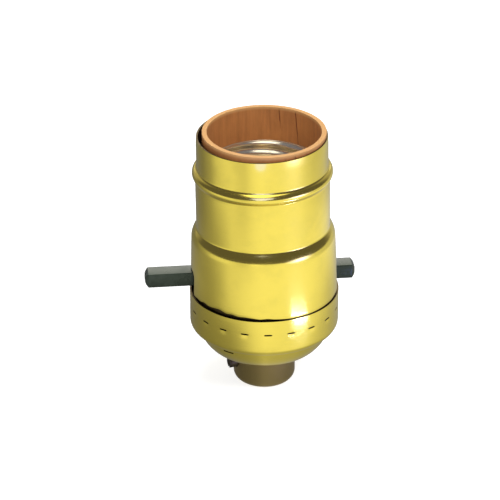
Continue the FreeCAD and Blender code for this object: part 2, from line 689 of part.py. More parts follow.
def make_upper_block():
    """The upper half of the switch body, which closes the channel and carries the screw
    shell, the centre contact and the neutral strip's tab."""
    body = new_body("upper_block")
    core = new_sketch(body, "XY_Plane", "parting")
    double_d(core)
    pad(body, core, "block_top - parting")
    left, right = strap_slot_sides()
    leg = new_sketch(body, "XY_Plane", "block_top")
    rectangle(leg, left, right, "strap_near - strip_gap", "strap_near + strap_width + strip_gap")
    pocket(body, leg, "block_top - parting")
    recess = new_sketch(body, "XY_Plane", "block_top")
    rectangle(recess, "-riser_half - strip_gap", "riser_half + strip_gap",
              "riser_inner - strip_gap", "block_radius")
    pocket(body, recess, "plate")
    eyelet = new_sketch(body, "XY_Plane", "block_top")
    disc(eyelet, "0", "strap_near + strap_width / 2", "eyelet_radius")
    pocket(body, eyelet, "eyelet_length")
    rivet = new_sketch(body, "XY_Plane", "block_top")
    disc(rivet, "0", "rivet_circle", "rivet_radius")
    riveted = pocket(body, rivet, "rivet_length - thread_sheet")
    round_about(body, [riveted], "rivet_count")
    drilled = new_sketch(body, "XY_Plane", "parting")
    for side in ("-", ""):
        disc(drilled, f"{side}screw_across", "screw_back", "screw_radius")
    pocket(body, drilled, "screw_top - parting", backwards=True)
    return body


def make_block_screws():
    body = new_body("block_screws")
    body.AllowCompound = True
    shanks = new_sketch(body, "XY_Plane", "bowl_top")
    heads = new_sketch(body, "XY_Plane", "bowl_top")
    slots = new_sketch(body, "XY_Plane", "bowl_top")
    for side in ("-", ""):
        disc(shanks, f"{side}screw_across", "screw_back", "screw_radius")
        disc(heads, f"{side}screw_across", "screw_back", "screw_head")
        rectangle(slots, f"{side}screw_across - 2 * screw_head",
                  f"{side}screw_across + 2 * screw_head",
                  "screw_back - driver_slot / 2", "screw_back + driver_slot / 2")
    pad(body, shanks, "screw_top - bowl_top")
    pad(body, heads, "screw_head_depth")
    pocket(body, slots, "driver_depth", backwards=True)
    return body


# ---- push bar and rocker ---------------------------------------------------------------


def bar_section(body, lift, inset):
    """The push bar's bevelled section, drawn smaller by inset all round."""
    section = new_sketch(body, "YZ_Plane", lift)
    wide, deep = f"(bar_width / 2 - {inset})", f"(bar_depth / 2 - {inset})"
    outline(section, [
        (f"-{wide}", f"bar_bevel - {deep}"),
        (f"bar_bevel - {wide}", f"-{deep}"),
        (f"{wide} - bar_bevel", f"-{deep}"),
        (wide, f"bar_bevel - {deep}"),
        (wide, f"{deep} - bar_bevel"),
        (f"{wide} - bar_bevel", deep),
        (f"bar_bevel - {wide}", deep),
        (f"-{wide}", f"{deep} - bar_bevel"),
    ])
    return section


def make_push_bar():
    """The bar that is pushed through from either side. A notch in its underside takes the
    rocker's tip. It rests at the end of its travel that leaves it long at -X."""
    body = new_body("push_bar")
    pad(body, bar_section(body, "0", "0"), "bar_length - 2 * bar_tip", both_ways=True)
    for side in ("", "-"):
        tip = body.newObject("PartDesign::AdditiveLoft", "Tip")
        tip.Profile = bar_section(body, f"{side}(bar_length / 2 - bar_tip)", "0")
        tip.Sections = [bar_section(body, f"{side}bar_length / 2", "bar_tip_inset")]
        tip.Ruled = True
    notch = new_sketch(body, "XY_Plane", "-bar_depth / 2")
    rectangle(notch, "-notch_half", "notch_half", "-notch_width / 2", "notch_width / 2")
    pocket(body, notch, "bar_depth / 2 + rocker_tip + body_gap", backwards=True)
    place(body, across="-bar_throw / 2", up="bar_level")
    return body


ROCKER_SWING = "asin(bar_throw / 2 / lever)"


def make_switch_rocker():
    """The rocker, drawn upright about its pivot and then swung to where the bar rests."""
    body = new_body("switch_rocker")
    for drawn in (
        lambda sketch: disc(sketch, "0", "0", "rocker_hub"),
        lambda sketch: disc(sketch, "0", "lever", "rocker_tip"),
        lambda sketch: rectangle(sketch, "-rocker_arm / 2", "rocker_arm / 2",
                                 "-rocker_foot", "lever"),
    ):
        sketch = new_sketch(body, "XZ_Plane")
        drawn(sketch)
        pad(body, sketch, "rocker_width", both_ways=True)
    bore = new_sketch(body, "XZ_Plane")
    disc(bore, "0", "0", "pin_radius + turning_gap")
    pocket(body, bore, "4 * rocker_width", both_ways=True)
    turn_body(body, VECTOR(0, -1, 0), ROCKER_SWING)
    place(body, up="pivot")
    return body


def make_rocker_contact():
    """The bridge on the rocker's foot that joins the two tongues when the switch is on."""
    body = new_body("rocker_contact")
    sketch = new_sketch(body, "XZ_Plane")
    outline(sketch, [
        ("-rocker_arm / 2", "-rocker_foot"),
        ("-rocker_arm / 2", "contact_depth - rocker_foot"),
        ("contact_nose - contact_reach", "contact_depth - rocker_foot"),
        ("-contact_reach", "contact_depth - rocker_foot - contact_nose", "contact_nose", 1),
        ("-contact_reach", "contact_nose - rocker_foot"),
        ("contact_nose - contact_reach", "-rocker_foot", "contact_nose", 1),
    ])
    pad(body, sketch, "contact_width", both_ways=True)
    turn_body(body, VECTOR(0, -1, 0), ROCKER_SWING)
    place(body, up="pivot")
    return body


def make_rocker_pin():
    body = new_body("rocker_pin")
    sketch = new_sketch(body, "XZ_Plane")
    disc(sketch, "0", "pivot", "pin_radius")
    pad(body, sketch, "pin_length", both_ways=True)
    return body


# ---- contacts and terminals ------------------------------------------------------------


def make_centre_strap():
    """The strap from the switch's tongue, up through the switch body, to the tab under
    the centre contact."""
    body = new_body("centre_strap")
    flat = new_sketch(body, "YZ_Plane", "-cavity_half")
    outline(flat, [
        ("tongue_half_gap", "tongue_foot"),
        ("strap_near + strap_width", "tongue_foot"),
        ("strap_near + strap_width", "block_top + strip"),
        ("strap_near", "block_top + strip"),
        ("strap_near", "tongue_top"),
        ("tongue_half_gap", "tongue_top"),
    ])
    pad(body, flat, "strip")
    tab = new_sketch(body, "XY_Plane", "block_top")
    rectangle(tab, "-cavity_half", "leaf_half", "strap_near", "strap_near + strap_width")
    pad(body, tab, "strip")
    hole = new_sketch(body, "XY_Plane", "block_top + strip")
    disc(hole, "0", "strap_near + strap_width / 2", "eyelet_radius")
    pocket(body, hole, "strip")
    return body


def make_centre_contact():
    """The spring leaf that meets the lamp's centre, seated on the strap's tab."""
    body = new_body("centre_contact")
    foot = "(block_top + strip)"
    crest = f"({foot} + leaf_rise)"
    side = new_sketch(body, "YZ_Plane")
    outline(side, [
        ("strap_near + strap_width", foot),
        ("strap_near + strap_width", f"{foot} + leaf"),
        ("strap_near", f"{foot} + leaf"),
        ("leaf_half / 2", f"{crest} + leaf"),
        ("-leaf_half / 2", f"{crest} + leaf"),
        ("-leaf_reach", f"{crest} + leaf - leaf_rise / 2"),
        ("-leaf_reach", f"{crest} - leaf_rise / 2"),
        ("-leaf_half / 2", crest),
        ("leaf_half / 2", crest),
        ("strap_near", foot),
    ])
    pad(body, side, "2 * leaf_half", both_ways=True)
    hole = new_sketch(body, "XY_Plane", f"{foot} + leaf")
    disc(hole, "0", "strap_near + strap_width / 2", "eyelet_radius")
    pocket(body, hole, "leaf")
    return body


def make_contact_rivet():
    body = new_body("contact_rivet")
    back = "(strap_near + strap_width / 2)"
    over = "(block_top + strip + leaf)"
    head = new_sketch(body, "XY_Plane", over)
    disc(head, "0", back, "eyelet_head")
    pad(body, head, "rivet_rise / 2")
    shank = new_sketch(body, "XY_Plane", over)
    disc(shank, "0", back, "eyelet_radius")
    pad(body, shank, "eyelet_length + strip + leaf", backwards=True)
    return body


def make_hot_terminal_plate():
    """The plate under the hot terminal screw, with the tongue that reaches the switch."""
    body = new_body("hot_terminal_plate")
    flat = new_sketch(body, "XZ_Plane", "block_flat")
    rectangle(flat, "-cavity_half", "plate_half", "plate_foot", "plate_foot + plate_height")
    pad(body, flat, "plate")
    tongue = new_sketch(body, "YZ_Plane", "-cavity_half")
    rectangle(tongue, "-block_flat", "-tongue_half_gap", "tongue_foot", "tongue_top")
    pad(body, tongue, "strip")
    hole = new_sketch(body, "XZ_Plane")
    disc(hole, "0", "terminal_level", "terminal_radius + turning_gap")
    pocket(body, hole, "2 * block_flat", backwards=True)
    return body


def make_neutral_terminal_strip():
    """The plate under the neutral screw, which runs up to a tab under the screw shell."""
    body = new_body("neutral_terminal_strip")
    flat = new_sketch(body, "XZ_Plane", "-plate_face")
    outline(flat, [
        ("-plate_half", "plate_foot"),
        ("plate_half", "plate_foot"),
        ("plate_half", "plate_foot + plate_height"),
        ("riser_half", "plate_foot + plate_height"),
        ("riser_half", "block_top"),
        ("-riser_half", "block_top"),
        ("-riser_half", "plate_foot + plate_height"),
        ("-plate_half", "plate_foot + plate_height"),
    ])
    pad(body, flat, "plate")
    tab = new_sketch(body, "XY_Plane", "block_top - plate")
    rectangle(tab, "-riser_half", "riser_half", "riser_inner", "plate_face")
    pad(body, tab, "plate")
    hole = new_sketch(body, "XZ_Plane")
    disc(hole, "0", "terminal_level", "terminal_radius + turning_gap")
    pocket(body, hole, "2 * block_flat")
    rivet = new_sketch(body, "XY_Plane", "block_top")
    disc(rivet, "0", "rivet_circle", "rivet_radius")
    pocket(body, rivet, "2 * plate")
    return body


def make_terminal_screw(name, side):
    """A terminal screw, turned upright and then laid along -Y (side -1) or +Y (side +1)."""
    body = new_body(name)
    section = new_sketch(body, "XZ_Plane")
    outline(section, [
        ("0", "-terminal_length"),
        ("terminal_radius", "-terminal_length"),
        ("terminal_radius", "0"),
        ("terminal_head", "0"),
        ("terminal_head", "terminal_head_depth - terminal_bevel"),
        ("terminal_head - terminal_bevel", "terminal_head_depth"),
        ("0", "terminal_head_depth"),
    ])
    revolve(body, section)
    slot = new_sketch(body, "XY_Plane", "terminal_head_depth")
    rectangle(slot, "-2 * terminal_head", "2 * terminal_head",
              "-driver_slot / 2", "driver_slot / 2")
    pocket(body, slot, "driver_depth")
    body.Placement.Rotation = FreeCAD.Rotation(VECTOR(1, 0, 0), -90 * side)
    sign = "" if side > 0 else "-"
    place(body, along=f"{sign}(plate_face + strip_gap)", up="terminal_level")
    return body


def make_all():
    return [
        make_cap(),
        make_cap_liner(),
        make_hub_bushing(),
        make_hub_set_screw(),
        make_outer_shell(),
        make_shell_liner(),
        make_screw_shell(),
        make_screw_shell_rivets(),
        make_lower_block(),
        make_upper_block(),
        make_block_screws(),
        make_push_bar(),
        make_switch_rocker(),
        make_rocker_contact(),
        make_rocker_pin(),
        make_centre_strap(),
        make_centre_contact(),
        make_contact_rivet(),
        make_hot_terminal_plate(),
        make_neutral_terminal_strip(),
        make_terminal_screw("hot_terminal_screw", -1),
        make_terminal_screw("neutral_terminal_screw", 1),
    ]


def check_document(bodies):
    for thing in doc.Objects:
        if {"Invalid", "Error"} & set(thing.State):
            raise ValueError(f"{thing.Name} ({thing.TypeId}) failed: {thing.State}")
    for body in bodies:
        if body.Shape.isNull() or not body.Shape.isValid() or not body.Shape.Solids:
            raise ValueError(f"{body.Label} has no valid solid")


fill_sheet()
pieces = make_all()
doc.recompute()
check_document(pieces)
os.makedirs("parts", exist_ok=True)
for piece in pieces:
    piece.Shape.exportStep(f"parts/{piece.Label}.step")
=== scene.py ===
"""Dresses the push-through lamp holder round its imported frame.

The code works in millimetres, and the meshes are in metres. Z runs up the holder's axis and X
along the push bar. A turn is counted round Z, from +X towards +Y.
"""

import json
from types import SimpleNamespace

import bpy
import numpy as np
from bpy.props import FloatProperty, FloatVectorProperty, IntProperty, PointerProperty
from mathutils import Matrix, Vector


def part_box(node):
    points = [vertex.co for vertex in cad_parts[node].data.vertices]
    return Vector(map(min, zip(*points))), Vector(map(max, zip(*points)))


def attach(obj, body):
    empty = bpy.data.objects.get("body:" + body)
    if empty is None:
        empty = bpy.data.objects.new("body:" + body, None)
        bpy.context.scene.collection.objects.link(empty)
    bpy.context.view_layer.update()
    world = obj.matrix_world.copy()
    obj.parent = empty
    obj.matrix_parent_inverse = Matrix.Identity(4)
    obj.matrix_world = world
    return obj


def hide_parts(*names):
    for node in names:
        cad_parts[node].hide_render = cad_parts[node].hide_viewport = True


bl_info = {
    "name": "Push-through lamp holder",
    "version": (1, 0, 0),
    "blender": (4, 5, 0),
    "location": "View3D > Sidebar > Lamp holder",
    "description": "Builds the spun shell, cap, liner, screw shell and push bar of a lamp holder",
    "category": "Add Mesh",
}

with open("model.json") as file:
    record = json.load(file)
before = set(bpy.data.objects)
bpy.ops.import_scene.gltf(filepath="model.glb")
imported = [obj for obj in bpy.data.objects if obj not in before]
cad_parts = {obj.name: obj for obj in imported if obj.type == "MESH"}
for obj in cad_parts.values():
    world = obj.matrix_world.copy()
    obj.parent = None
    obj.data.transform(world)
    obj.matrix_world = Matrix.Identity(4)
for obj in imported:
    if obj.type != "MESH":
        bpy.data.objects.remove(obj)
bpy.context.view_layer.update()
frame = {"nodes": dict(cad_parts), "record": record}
MM = 0.001


def corner_mm(node, end):
    """A CAD node's lowest (0) or highest (1) corner in millimetres."""
    return np.array(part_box(node)[end]) / MM


CAP_RADIUS, _, CAP_RIM = corner_mm("cap", 1)
LINER_RADIUS, _, LINER_TOP = corner_mm("shell_liner", 1)
LINER_FOOT = corner_mm("shell_liner", 0)[2]
SCREW_SHELL_RADIUS, _, SCREW_SHELL_TOP = corner_mm("screw_shell", 1)
SCREW_SHELL_FOOT = corner_mm("screw_shell", 0)[2]
HUB_RADIUS, _, HUB_TOP = corner_mm("hub_bushing", 1)
BAR_LOW, BAR_HIGH = corner_mm("push_bar", 0), corner_mm("push_bar", 1)
SET_SCREW_LEVEL = (corner_mm("hub_set_screw", 0)[2] + corner_mm("hub_set_screw", 1)[2]) / 2
SET_SCREW_TURN = np.radians(195.0)

# The cap: foot of its upright belt, first slit, lanced slit and half that slit's length
BELT_FOOT = 16.9
CAP_SHEET, LINER_WALL = 0.4, 1.15
FIRST_SLIT = np.radians(15.0)
LANCE_TURN, LANCE_HALF = np.radians(231.0), np.radians(5.2)

# The shell: its hem's curve, the skirt's foot and the level that it leans about
HEM_CURVE, SKIRT_FOOT, LEAN_LEVEL = 0.28, 17.8, 22.0
# The gap of the seam above the cap, in mm, by the turn in degrees
SEAM = np.array([
    (0, 0.55), (30, 0.50), (90, 0.45), (150, 0.50), (185, 0.70), (215, 0.95), (240, 0.90),
    (256, 0.62), (272, 0.34), (285, 0.08), (310, 0.05), (330, 0.16), (345, 0.45), (360, 0.55),
])

# The push bar's tip: how far in from the end, and how much narrower there on each side
BAR_TIP = np.array([
    (0.0, 1.30), (0.05, 0.98), (0.16, 0.72), (0.32, 0.50), (0.55, 0.26), (0.78, 0.05),
    (0.84, 0.01), (1.0, 0.0),
])

# The view: the camera stands 6 degrees round from -Y towards -X, and looks down by 27.8
VIEW_TURN, VIEW_FALL = np.radians(6.0), np.radians(27.8)
VIEW_DISTANCE, VIEW_LEVEL = 0.7, 0.032


# ---- sizes and colours a user may change ------------------------------------------------


def length(name, description, mm):
    """A length, kept in metres, with its default given in millimetres."""
    return FloatProperty(name=name, description=description, default=mm * MM, unit="LENGTH")


def colour(name, description, rgb):
    """A colour that a user may change."""
    return FloatVectorProperty(
        name=name, description=description, subtype="COLOR", size=3, default=rgb
    )


class ShellSizes(bpy.types.PropertyGroup):
    """Sizes of the shell, all measured on its outside"""

    sheet: length("Sheet", "Thickness of the brass", 0.4)
    mouth_top: length("Mouth", "Height of the mouth", 66.3)
    mouth_radius: length("Mouth radius", "Outside of the wall above the bead", 15.94)
    bead_level: length("Bead level", "Height of the bead's crest", 56.8)
    bead_radius: length("Bead radius", "Outside of the bead's crest", 17.05)
    barrel_radius: length("Barrel radius", "Outside between bead and shoulder", 16.31)
    shoulder_level: length("Shoulder level", "Height where the shoulder ends", 39.36)
    body_radius: length("Body radius", "Outside under the shoulder", 17.6)
    hem_level: length("Hem level", "Height where the shell turns into the cap", 26.0)
    slot_side: length("Slot side", "Room beside the bar in each slot", 1.8)
    slot_top: length("Slot top", "Room above the bar in each slot", 0.9)
    slot_corner: length("Slot corner", "Radius of a slot's upper corners", 1.6)
    lean: FloatProperty(
        name="Lean", description="How far the shell leans in the cap",
        default=np.radians(0.7), subtype="ANGLE",
    )
    seam_wave: FloatProperty(
        name="Seam wave", description="Waviness of the seam, in proportion to its gap", default=1.3
    )


class CapSizes(bpy.types.PropertyGroup):
    """Sizes of the cap and its slits"""

    slit_count: IntProperty(
        name="Slits", description="Number of snap slits round the cap", default=20, min=8
    )
    slit_level: length("Slit level", "Height of the snap slits", 21.4)
    slit_length: length("Slit length", "Length of a snap slit", 2.0)
    slit_width: length("Slit width", "Width of a slit", 0.45)
    lance_level: length("Lanced slit", "Height of the slit in the bowl", 14.1)
    bowl_foot: length("Bowl foot", "Height of the bowl's underside", 8.5)
    neck_radius: length("Neck", "Outside of the neck", 7.64)


class ThreadSizes(bpy.types.PropertyGroup):
    """Sizes of the two threads"""

    lamp_pitch: length("Lamp thread", "Pitch of the screw shell's thread", 3.629)
    lamp_depth: length("Lamp thread depth", "Depth of the screw shell's thread", 0.75)
    pipe_pitch: length("Pipe thread", "Pitch of the hub's thread", 0.941)
    pipe_depth: length("Pipe thread depth", "Depth of the hub's thread", 0.42)


class Finishes(bpy.types.PropertyGroup):
    """Colours of the materials"""

    gilt: colour("Gilt brass", "Colour of the shell and the cap", (0.975, 0.785, 0.12))
    hub: colour("Unpolished brass", "Colour of the hub and the cap's neck", (0.40, 0.30, 0.105))
    fibre: colour("Fibre", "Colour of the shell's liner", (0.47, 0.185, 0.056))
    moulding: colour("Bar moulding", "Colour of the push bar", (0.011, 0.017, 0.013))
    block: colour("Switch body moulding", "Colour of the body's halves", (0.055, 0.034, 0.022))


GROUPS = {
    "holder_shell": ShellSizes,
    "holder_cap": CapSizes,
    "holder_thread": ThreadSizes,
    "holder_finish": Finishes,
}


def sizes_of(group):
    """A group's values by name, with its lengths turned into millimetres."""
    kinds = group.bl_rna.properties
    return SimpleNamespace(**{
        key: getattr(group, key) / MM if kinds[key].unit == "LENGTH" else getattr(group, key)
        for key in type(group).__annotations__
    })


# ---- curves and surfaces ---------------------------------------------------------------


def arc(centre, radius, start, end, step=7.0):
    """Points of a circular arc: centre + radius * (cos a, sin a), a from start to end in
    degrees, at most step degrees apart."""
    count = max(int(np.ceil(abs(end - start) / step)), 2) + 1
    angle = np.radians(np.linspace(start, end, count))
    return np.stack([centre[0] + radius * np.cos(angle), centre[1] + radius * np.sin(angle)], 1)


def arc_between(first, last, radius):
    """The short arc of a radius from first to last that has its centre on the right of the
    chord: centre = middle - normal * sqrt(radius^2 - half chord^2)."""
    first, last = np.array(first, float), np.array(last, float)
    chord = last - first
    span = np.hypot(*chord)
    normal = np.array([-chord[1], chord[0]]) / span
    centre = (first + last) / 2 - normal * np.sqrt(radius**2 - span**2 / 4)
    start, end = (np.degrees(np.arctan2(*(p - centre)[::-1])) for p in (first, last))
    end += 360 * np.round((start - end) / 360)
    return arc(centre, radius, start, end)


def crown(above, below, crest, level, hollow, radius):
    """A rolled bead or shoulder, from the wall above to the wall below. The crown is an arc
    of the given radius about (crest - radius, level). Each hollow is an arc tangent to its
    wall and to the crown, so the two centres are hollow + radius apart. Without a wall below,
    the crown runs straight down from its crest."""
    middle = np.array([crest - radius, level])

    def meeting(wall):
        """Height of a hollow's centre over the crown's, and the angle where they touch."""
        across = wall + hollow - middle[0]
        up = np.sqrt((hollow + radius) ** 2 - across**2)
        return up, np.degrees(np.arctan2(up, across))

    up, start = meeting(above)
    upper = arc((above + hollow, level + up), hollow, 180, 180 + start)
    if below is None:
        return np.concatenate([upper, arc(middle, radius, start, 0)[1:]])
    up, end = meeting(below)
    lower = arc((below + hollow, level - up), hollow, 180 - end, 180)
    return np.concatenate([upper, arc(middle, radius, start, -end)[1:-1], lower])


def filled(path, longest):
    """The path with its long stretches divided, so no step is longer than longest."""
    steps = np.hypot(*np.diff(path, axis=0).T)
    travel = np.concatenate([[0], np.cumsum(steps)])
    counts = np.maximum(np.ceil(steps / longest).astype(int), 1)
    places = [np.linspace(a, b, n, endpoint=False) for a, b, n in zip(travel, travel[1:], counts)]
    places = np.concatenate([*places, travel[-1:]])
    return np.stack([np.interp(places, travel, path[:, k]) for k in (0, 1)], 1)


def turned(path, angles):
    """A surface of revolution: (r cos a, r sin a, z) for each (r, z) of the path."""
    r, z = path[:, :1], path[:, 1:]
    return np.stack([r * np.cos(angles), r * np.sin(angles), z + 0 * angles], 2)


def smooth_step(low, high, value):
    """0 below low, 1 above high, and 3 t^2 - 2 t^3 between, t being the share of the way."""
    t = np.clip((value - low) / (high - low), 0, 1)
    return t * t * (3 - 2 * t)


def ripple(angles, seed, waves):
    """A closed random wave: a sum of sines whose strength falls with their number."""
    rng = np.random.default_rng(seed)
    phases, strengths = rng.uniform(0, 2 * np.pi, len(waves)), rng.uniform(0.5, 1, len(waves))
    total = 0 * angles
    for wave, phase, strength in zip(waves, phases, strengths):
        total = total + strength * np.sin(wave * angles + phase) / np.sqrt(wave)
    return total / 2


def angles_with(count, dense, width, extra):
    """count angles round the circle, with extra ones packed within width of each dense one."""
    angles = [np.linspace(0, 2 * np.pi, count, endpoint=False)]
    for centre in dense:
        angles.append(centre + np.linspace(-width, width, extra))
    angles = np.unique(np.round(np.concatenate(angles) % (2 * np.pi), 5))
    close = np.diff(angles, append=angles[0] + 2 * np.pi) < 0.004
    return angles[~close]


def leaned(points, angle):
    """Turns points by an angle about the Y axis at LEAN_LEVEL, so that the top goes to -X:
    x' = x cos - up sin and up' = x sin + up cos, up being the height over that level."""
    x, y, z = points.T
    up = z - LEAN_LEVEL
    across = x * np.cos(angle) - up * np.sin(angle)
    return np.stack([across, y, LEAN_LEVEL + x * np.sin(angle) + up * np.cos(angle)], 1)


def slot_depth(y, z, half, top, corner):
    """How far (y, z) lies outside a slot that is open below: the distance to a box of the
    given half width and top whose upper corners are rounded; negative inside."""
    across, up = np.abs(y) - (half - corner), z - (top - corner)
    inside = np.minimum(np.maximum(across, up), 0)
    outside = np.hypot(np.maximum(across, 0), np.maximum(up, 0))
    return inside + outside - corner


def slot_slope(y, z, *slot):
    """The direction in (y, z) that leads straight out of that slot: the slope of its depth."""
    step = 1e-3
    dy = slot_depth(y + step, z, *slot) - slot_depth(y - step, z, *slot)
    dz = slot_depth(y, z + step, *slot) - slot_depth(y, z - step, *slot)
    steepness = np.maximum(np.hypot(dy, dz), 1e-9)
    return dy / steepness, dz / steepness


def bar_slot(size, ease=0.0):
    """Half width, top and corner of a bar slot, with ease more room beside and above."""
    half = (BAR_HIGH[1] - BAR_LOW[1]) / 2
    return half + size.slot_side + ease, BAR_HIGH[2] + size.slot_top + ease, size.slot_corner


def faces_of(rows, columns, close_rows=False):
    """Quads of a grid whose columns close on themselves, and its rows too if asked."""
    i = np.arange(rows if close_rows else rows - 1)[:, None]
    j = np.arange(columns)[None, :]
    ni, nj = (i + 1) % rows, (j + 1) % columns
    return np.stack([i * columns + j, ni * columns + j, ni * columns + nj, i * columns + nj], -1)


def cut_slots(points, slot):
    """Opens the two bar slots of a turned surface: leaves out the faces whose middle lies
    in a slot, and moves the edge that this leaves onto the slot's outline, at the same
    distance from the axis."""
    quads = faces_of(*points.shape[:2]).reshape(-1, 4)
    flat = points.reshape(-1, 3).copy()
    middle = flat[quads].mean(1)
    kept = slot_depth(middle[:, 1], middle[:, 2], *slot) > 0
    edge = np.intersect1d(quads[kept], quads[~kept])
    x, y, z = flat[edge].T
    radius = np.hypot(x, y)
    depth = slot_depth(y, z, *slot)
    out_y, out_z = slot_slope(y, z, *slot)
    y, z = y - depth * out_y, z - depth * out_z
    flat[edge] = np.stack([np.sign(x) * np.sqrt(radius**2 - y**2), y, z], 1)
    return flat, quads[kept]


def outward(points):
    """Unit normals of a grid that closes round its columns: the cross product of its steps
    along the rows and along the columns."""
    down = np.gradient(points, axis=0)
    onward = np.roll(points, -1, axis=1) - np.roll(points, 1, axis=1)
    normal = np.cross(down, onward)
    return (normal / np.linalg.norm(normal, axis=2, keepdims=True)).reshape(-1, 3)


def walled(points, quads, normals, thickness):
    """Gives a sheet its wall: its own faces, the same faces turned over and moved in by the
    thickness along the normals, and a strip along each edge that only one face has."""
    count = len(points)
    sides = np.stack([quads, np.roll(quads, -1, axis=1)], -1).reshape(-1, 2)
    key, back = sides @ [count, 1], sides[:, ::-1] @ [count, 1]
    start, end = sides[~np.isin(key, back)].T
    rim = np.stack([end, start, start + count, end + count], 1)
    both = np.concatenate([points, points - thickness * normals])
    return both, np.concatenate([quads, quads[:, ::-1] + count, rim])


def linked(name, mesh):
    """A new object of a mesh, in the scene."""
    new = bpy.data.objects.new(name, mesh)
    bpy.context.scene.collection.objects.link(new)
    return new


def make_piece(name, points, quads, body, slot, node, smooth=35.0, dull=None):
    """Puts points in millimetres and their faces into a mesh that rides on a CAD body and
    replaces a CAD node. Points that no face uses are left out. Edges sharper than smooth, in
    degrees, stay sharp. dull says which faces take the unpolished brass that is darkened as
    painted shade."""
    points, quads = np.asarray(points, float).reshape(-1, 3), np.asarray(quads).reshape(-1, 4)
    used, quads = np.unique(quads, return_inverse=True)
    mesh = bpy.data.meshes.new(name)
    mesh.from_pydata(points[used] * MM, [], quads.reshape(-1, 4).tolist())
    mesh.materials.append(finish_of(slot))
    if dull is not None:
        mesh.materials.append(finish_of("unpolished_shaded"))
        mesh.polygons.foreach_set("material_index", dull.astype(np.int32))
    mesh.validate()
    mesh.shade_smooth()
    mesh.set_sharp_from_angle(angle=np.radians(smooth))
    piece = linked(name, mesh)
    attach(piece, body)
    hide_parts(node)
    return piece


def soften(piece, width, limit=50.0):
    """Rounds the edges of a piece that are sharper than limit, in degrees."""
    edge = piece.modifiers.new("Edges", "BEVEL")
    edge.width = width * MM
    edge.segments = 2
    edge.limit_method = "ANGLE"
    edge.angle_limit = np.radians(limit)


def subtract(piece, points):
    """Takes a prism away from a piece for good. The first half of points is one end's
    corners, and the second half the other's."""
    count = len(points) // 2
    ends = [list(range(count))[::-1], list(range(count, 2 * count))]
    sides = [[i, (i + 1) % count, (i + 1) % count + count, i + count] for i in range(count)]
    prism = bpy.data.meshes.new("prism")
    prism.from_pydata(points * MM, [], ends + sides)
    tool = linked("prism", prism)
    cut = piece.modifiers.new("Cut", "BOOLEAN")
    cut.operation = "DIFFERENCE"
    cut.solver = "EXACT"
    cut.object = tool
    bpy.context.view_layer.update()
    done = piece.evaluated_get(bpy.context.evaluated_depsgraph_get())
    mesh = bpy.data.meshes.new_from_object(done)
    piece.modifiers.clear()
    piece.data = mesh
    bpy.data.objects.remove(tool)
    bpy.data.meshes.remove(prism)


def drill_screw_hole(piece, start, end, radius=1.52):
    """Bores the set screw's hole from start to end, both in mm from the holder's axis: its
    rim is radius * (side * cos a + up * sin a) about the screw's axis."""
    axis = np.array([np.cos(SET_SCREW_TURN), np.sin(SET_SCREW_TURN), 0])
    side = np.cross(axis, (0, 0, 1.0))
    up = np.cross(axis, side)
    angle = np.linspace(0, 2 * np.pi, 40, endpoint=False)[:, None]
    rim = radius * (side * np.cos(angle) + up * np.sin(angle)) + [0, 0, SET_SCREW_LEVEL]
    subtract(piece, np.concatenate([rim + start * axis, rim + end * axis]))


# ---- finishes --------------------------------------------------------------------------


def feed(tree, socket, value):
    """Links a (node, output) pair to a socket, or sets the socket's value; alpha is 1."""
    if isinstance(value, tuple) and isinstance(value[0], bpy.types.Node):
        tree.links.new(value[0].outputs[value[1]], socket)
    else:
        socket.default_value = (*value, 1.0) if socket.type == "RGBA" else value


def add(tree, kind, place, settings=None, **inputs):
    """Adds a shader node at a place with its settings, and feeds its inputs."""
    node = tree.nodes.new("ShaderNode" + kind)
    node.location = place
    for key, value in (settings or {}).items():
        setattr(node, key, value)
    for key, value in inputs.items():
        feed(tree, node.inputs[key.replace("_", " ")], value)
    return node


def emptied(owner):
    """The node tree of a material or a world, with nothing in it."""
    owner.use_nodes = True
    owner.node_tree.nodes.clear()
    return owner.node_tree


def new_material(name):
    """A material and its empty tree."""
    material = bpy.data.materials.new(name)
    return material, emptied(material)


def new_group(name, inputs, outputs):
    """An empty shader group with float inputs (name: default) and float outputs."""
    tree = bpy.data.node_groups.new(name, "ShaderNodeTree")
    for title, value in inputs.items():
        socket = tree.interface.new_socket(title, in_out="INPUT", socket_type="NodeSocketFloat")
        socket.default_value = value
    for title in outputs:
        tree.interface.new_socket(title, in_out="OUTPUT", socket_type="NodeSocketFloat")
    start, end = (tree.nodes.new("NodeGroup" + side) for side in ("Input", "Output"))
    start.location, end.location = (-900, 0), (700, 0)
    return tree, start, end


def add_group(tree, name, place, **inputs):
    """Adds one of the shader groups."""
    return add(tree, "Group", place, {"node_tree": bpy.data.node_groups[name]}, **inputs)


def coordinates(tree, place):
    """Object coordinates."""
    return add(tree, "TexCoord", place), "Object"


def stretched(tree, place, vector, scale, turn=(0, 0, 0)):
    """Coordinates that are turned and scaled."""
    return add(tree, "Mapping", place, Vector=vector, Scale=scale, Rotation=turn), "Vector"


def noise(tree, place, vector, scale, detail, roughness=0.5):
    """Fractal noise, from 0 to 1."""
    inputs = {"Vector": vector, "Scale": scale, "Detail": detail, "Roughness": roughness}
    return add(tree, "TexNoise", place, **inputs), "Fac"


def ranged(tree, place, value, low, high, smallest=0.0, largest=1.0):
    """Maps smallest..largest of a value to low..high."""
    limits = {"From_Min": smallest, "From_Max": largest, "To_Min": low, "To_Max": high}
    return add(tree, "MapRange", place, Value=value, **limits), "Result"


def combined(tree, place, operation, first, second):
    """Two values combined by an operation of the Math node."""
    node = add(tree, "Math", place, {"operation": operation})
    feed(tree, node.inputs[0], first)
    feed(tree, node.inputs[1], second)
    return node, "Value"


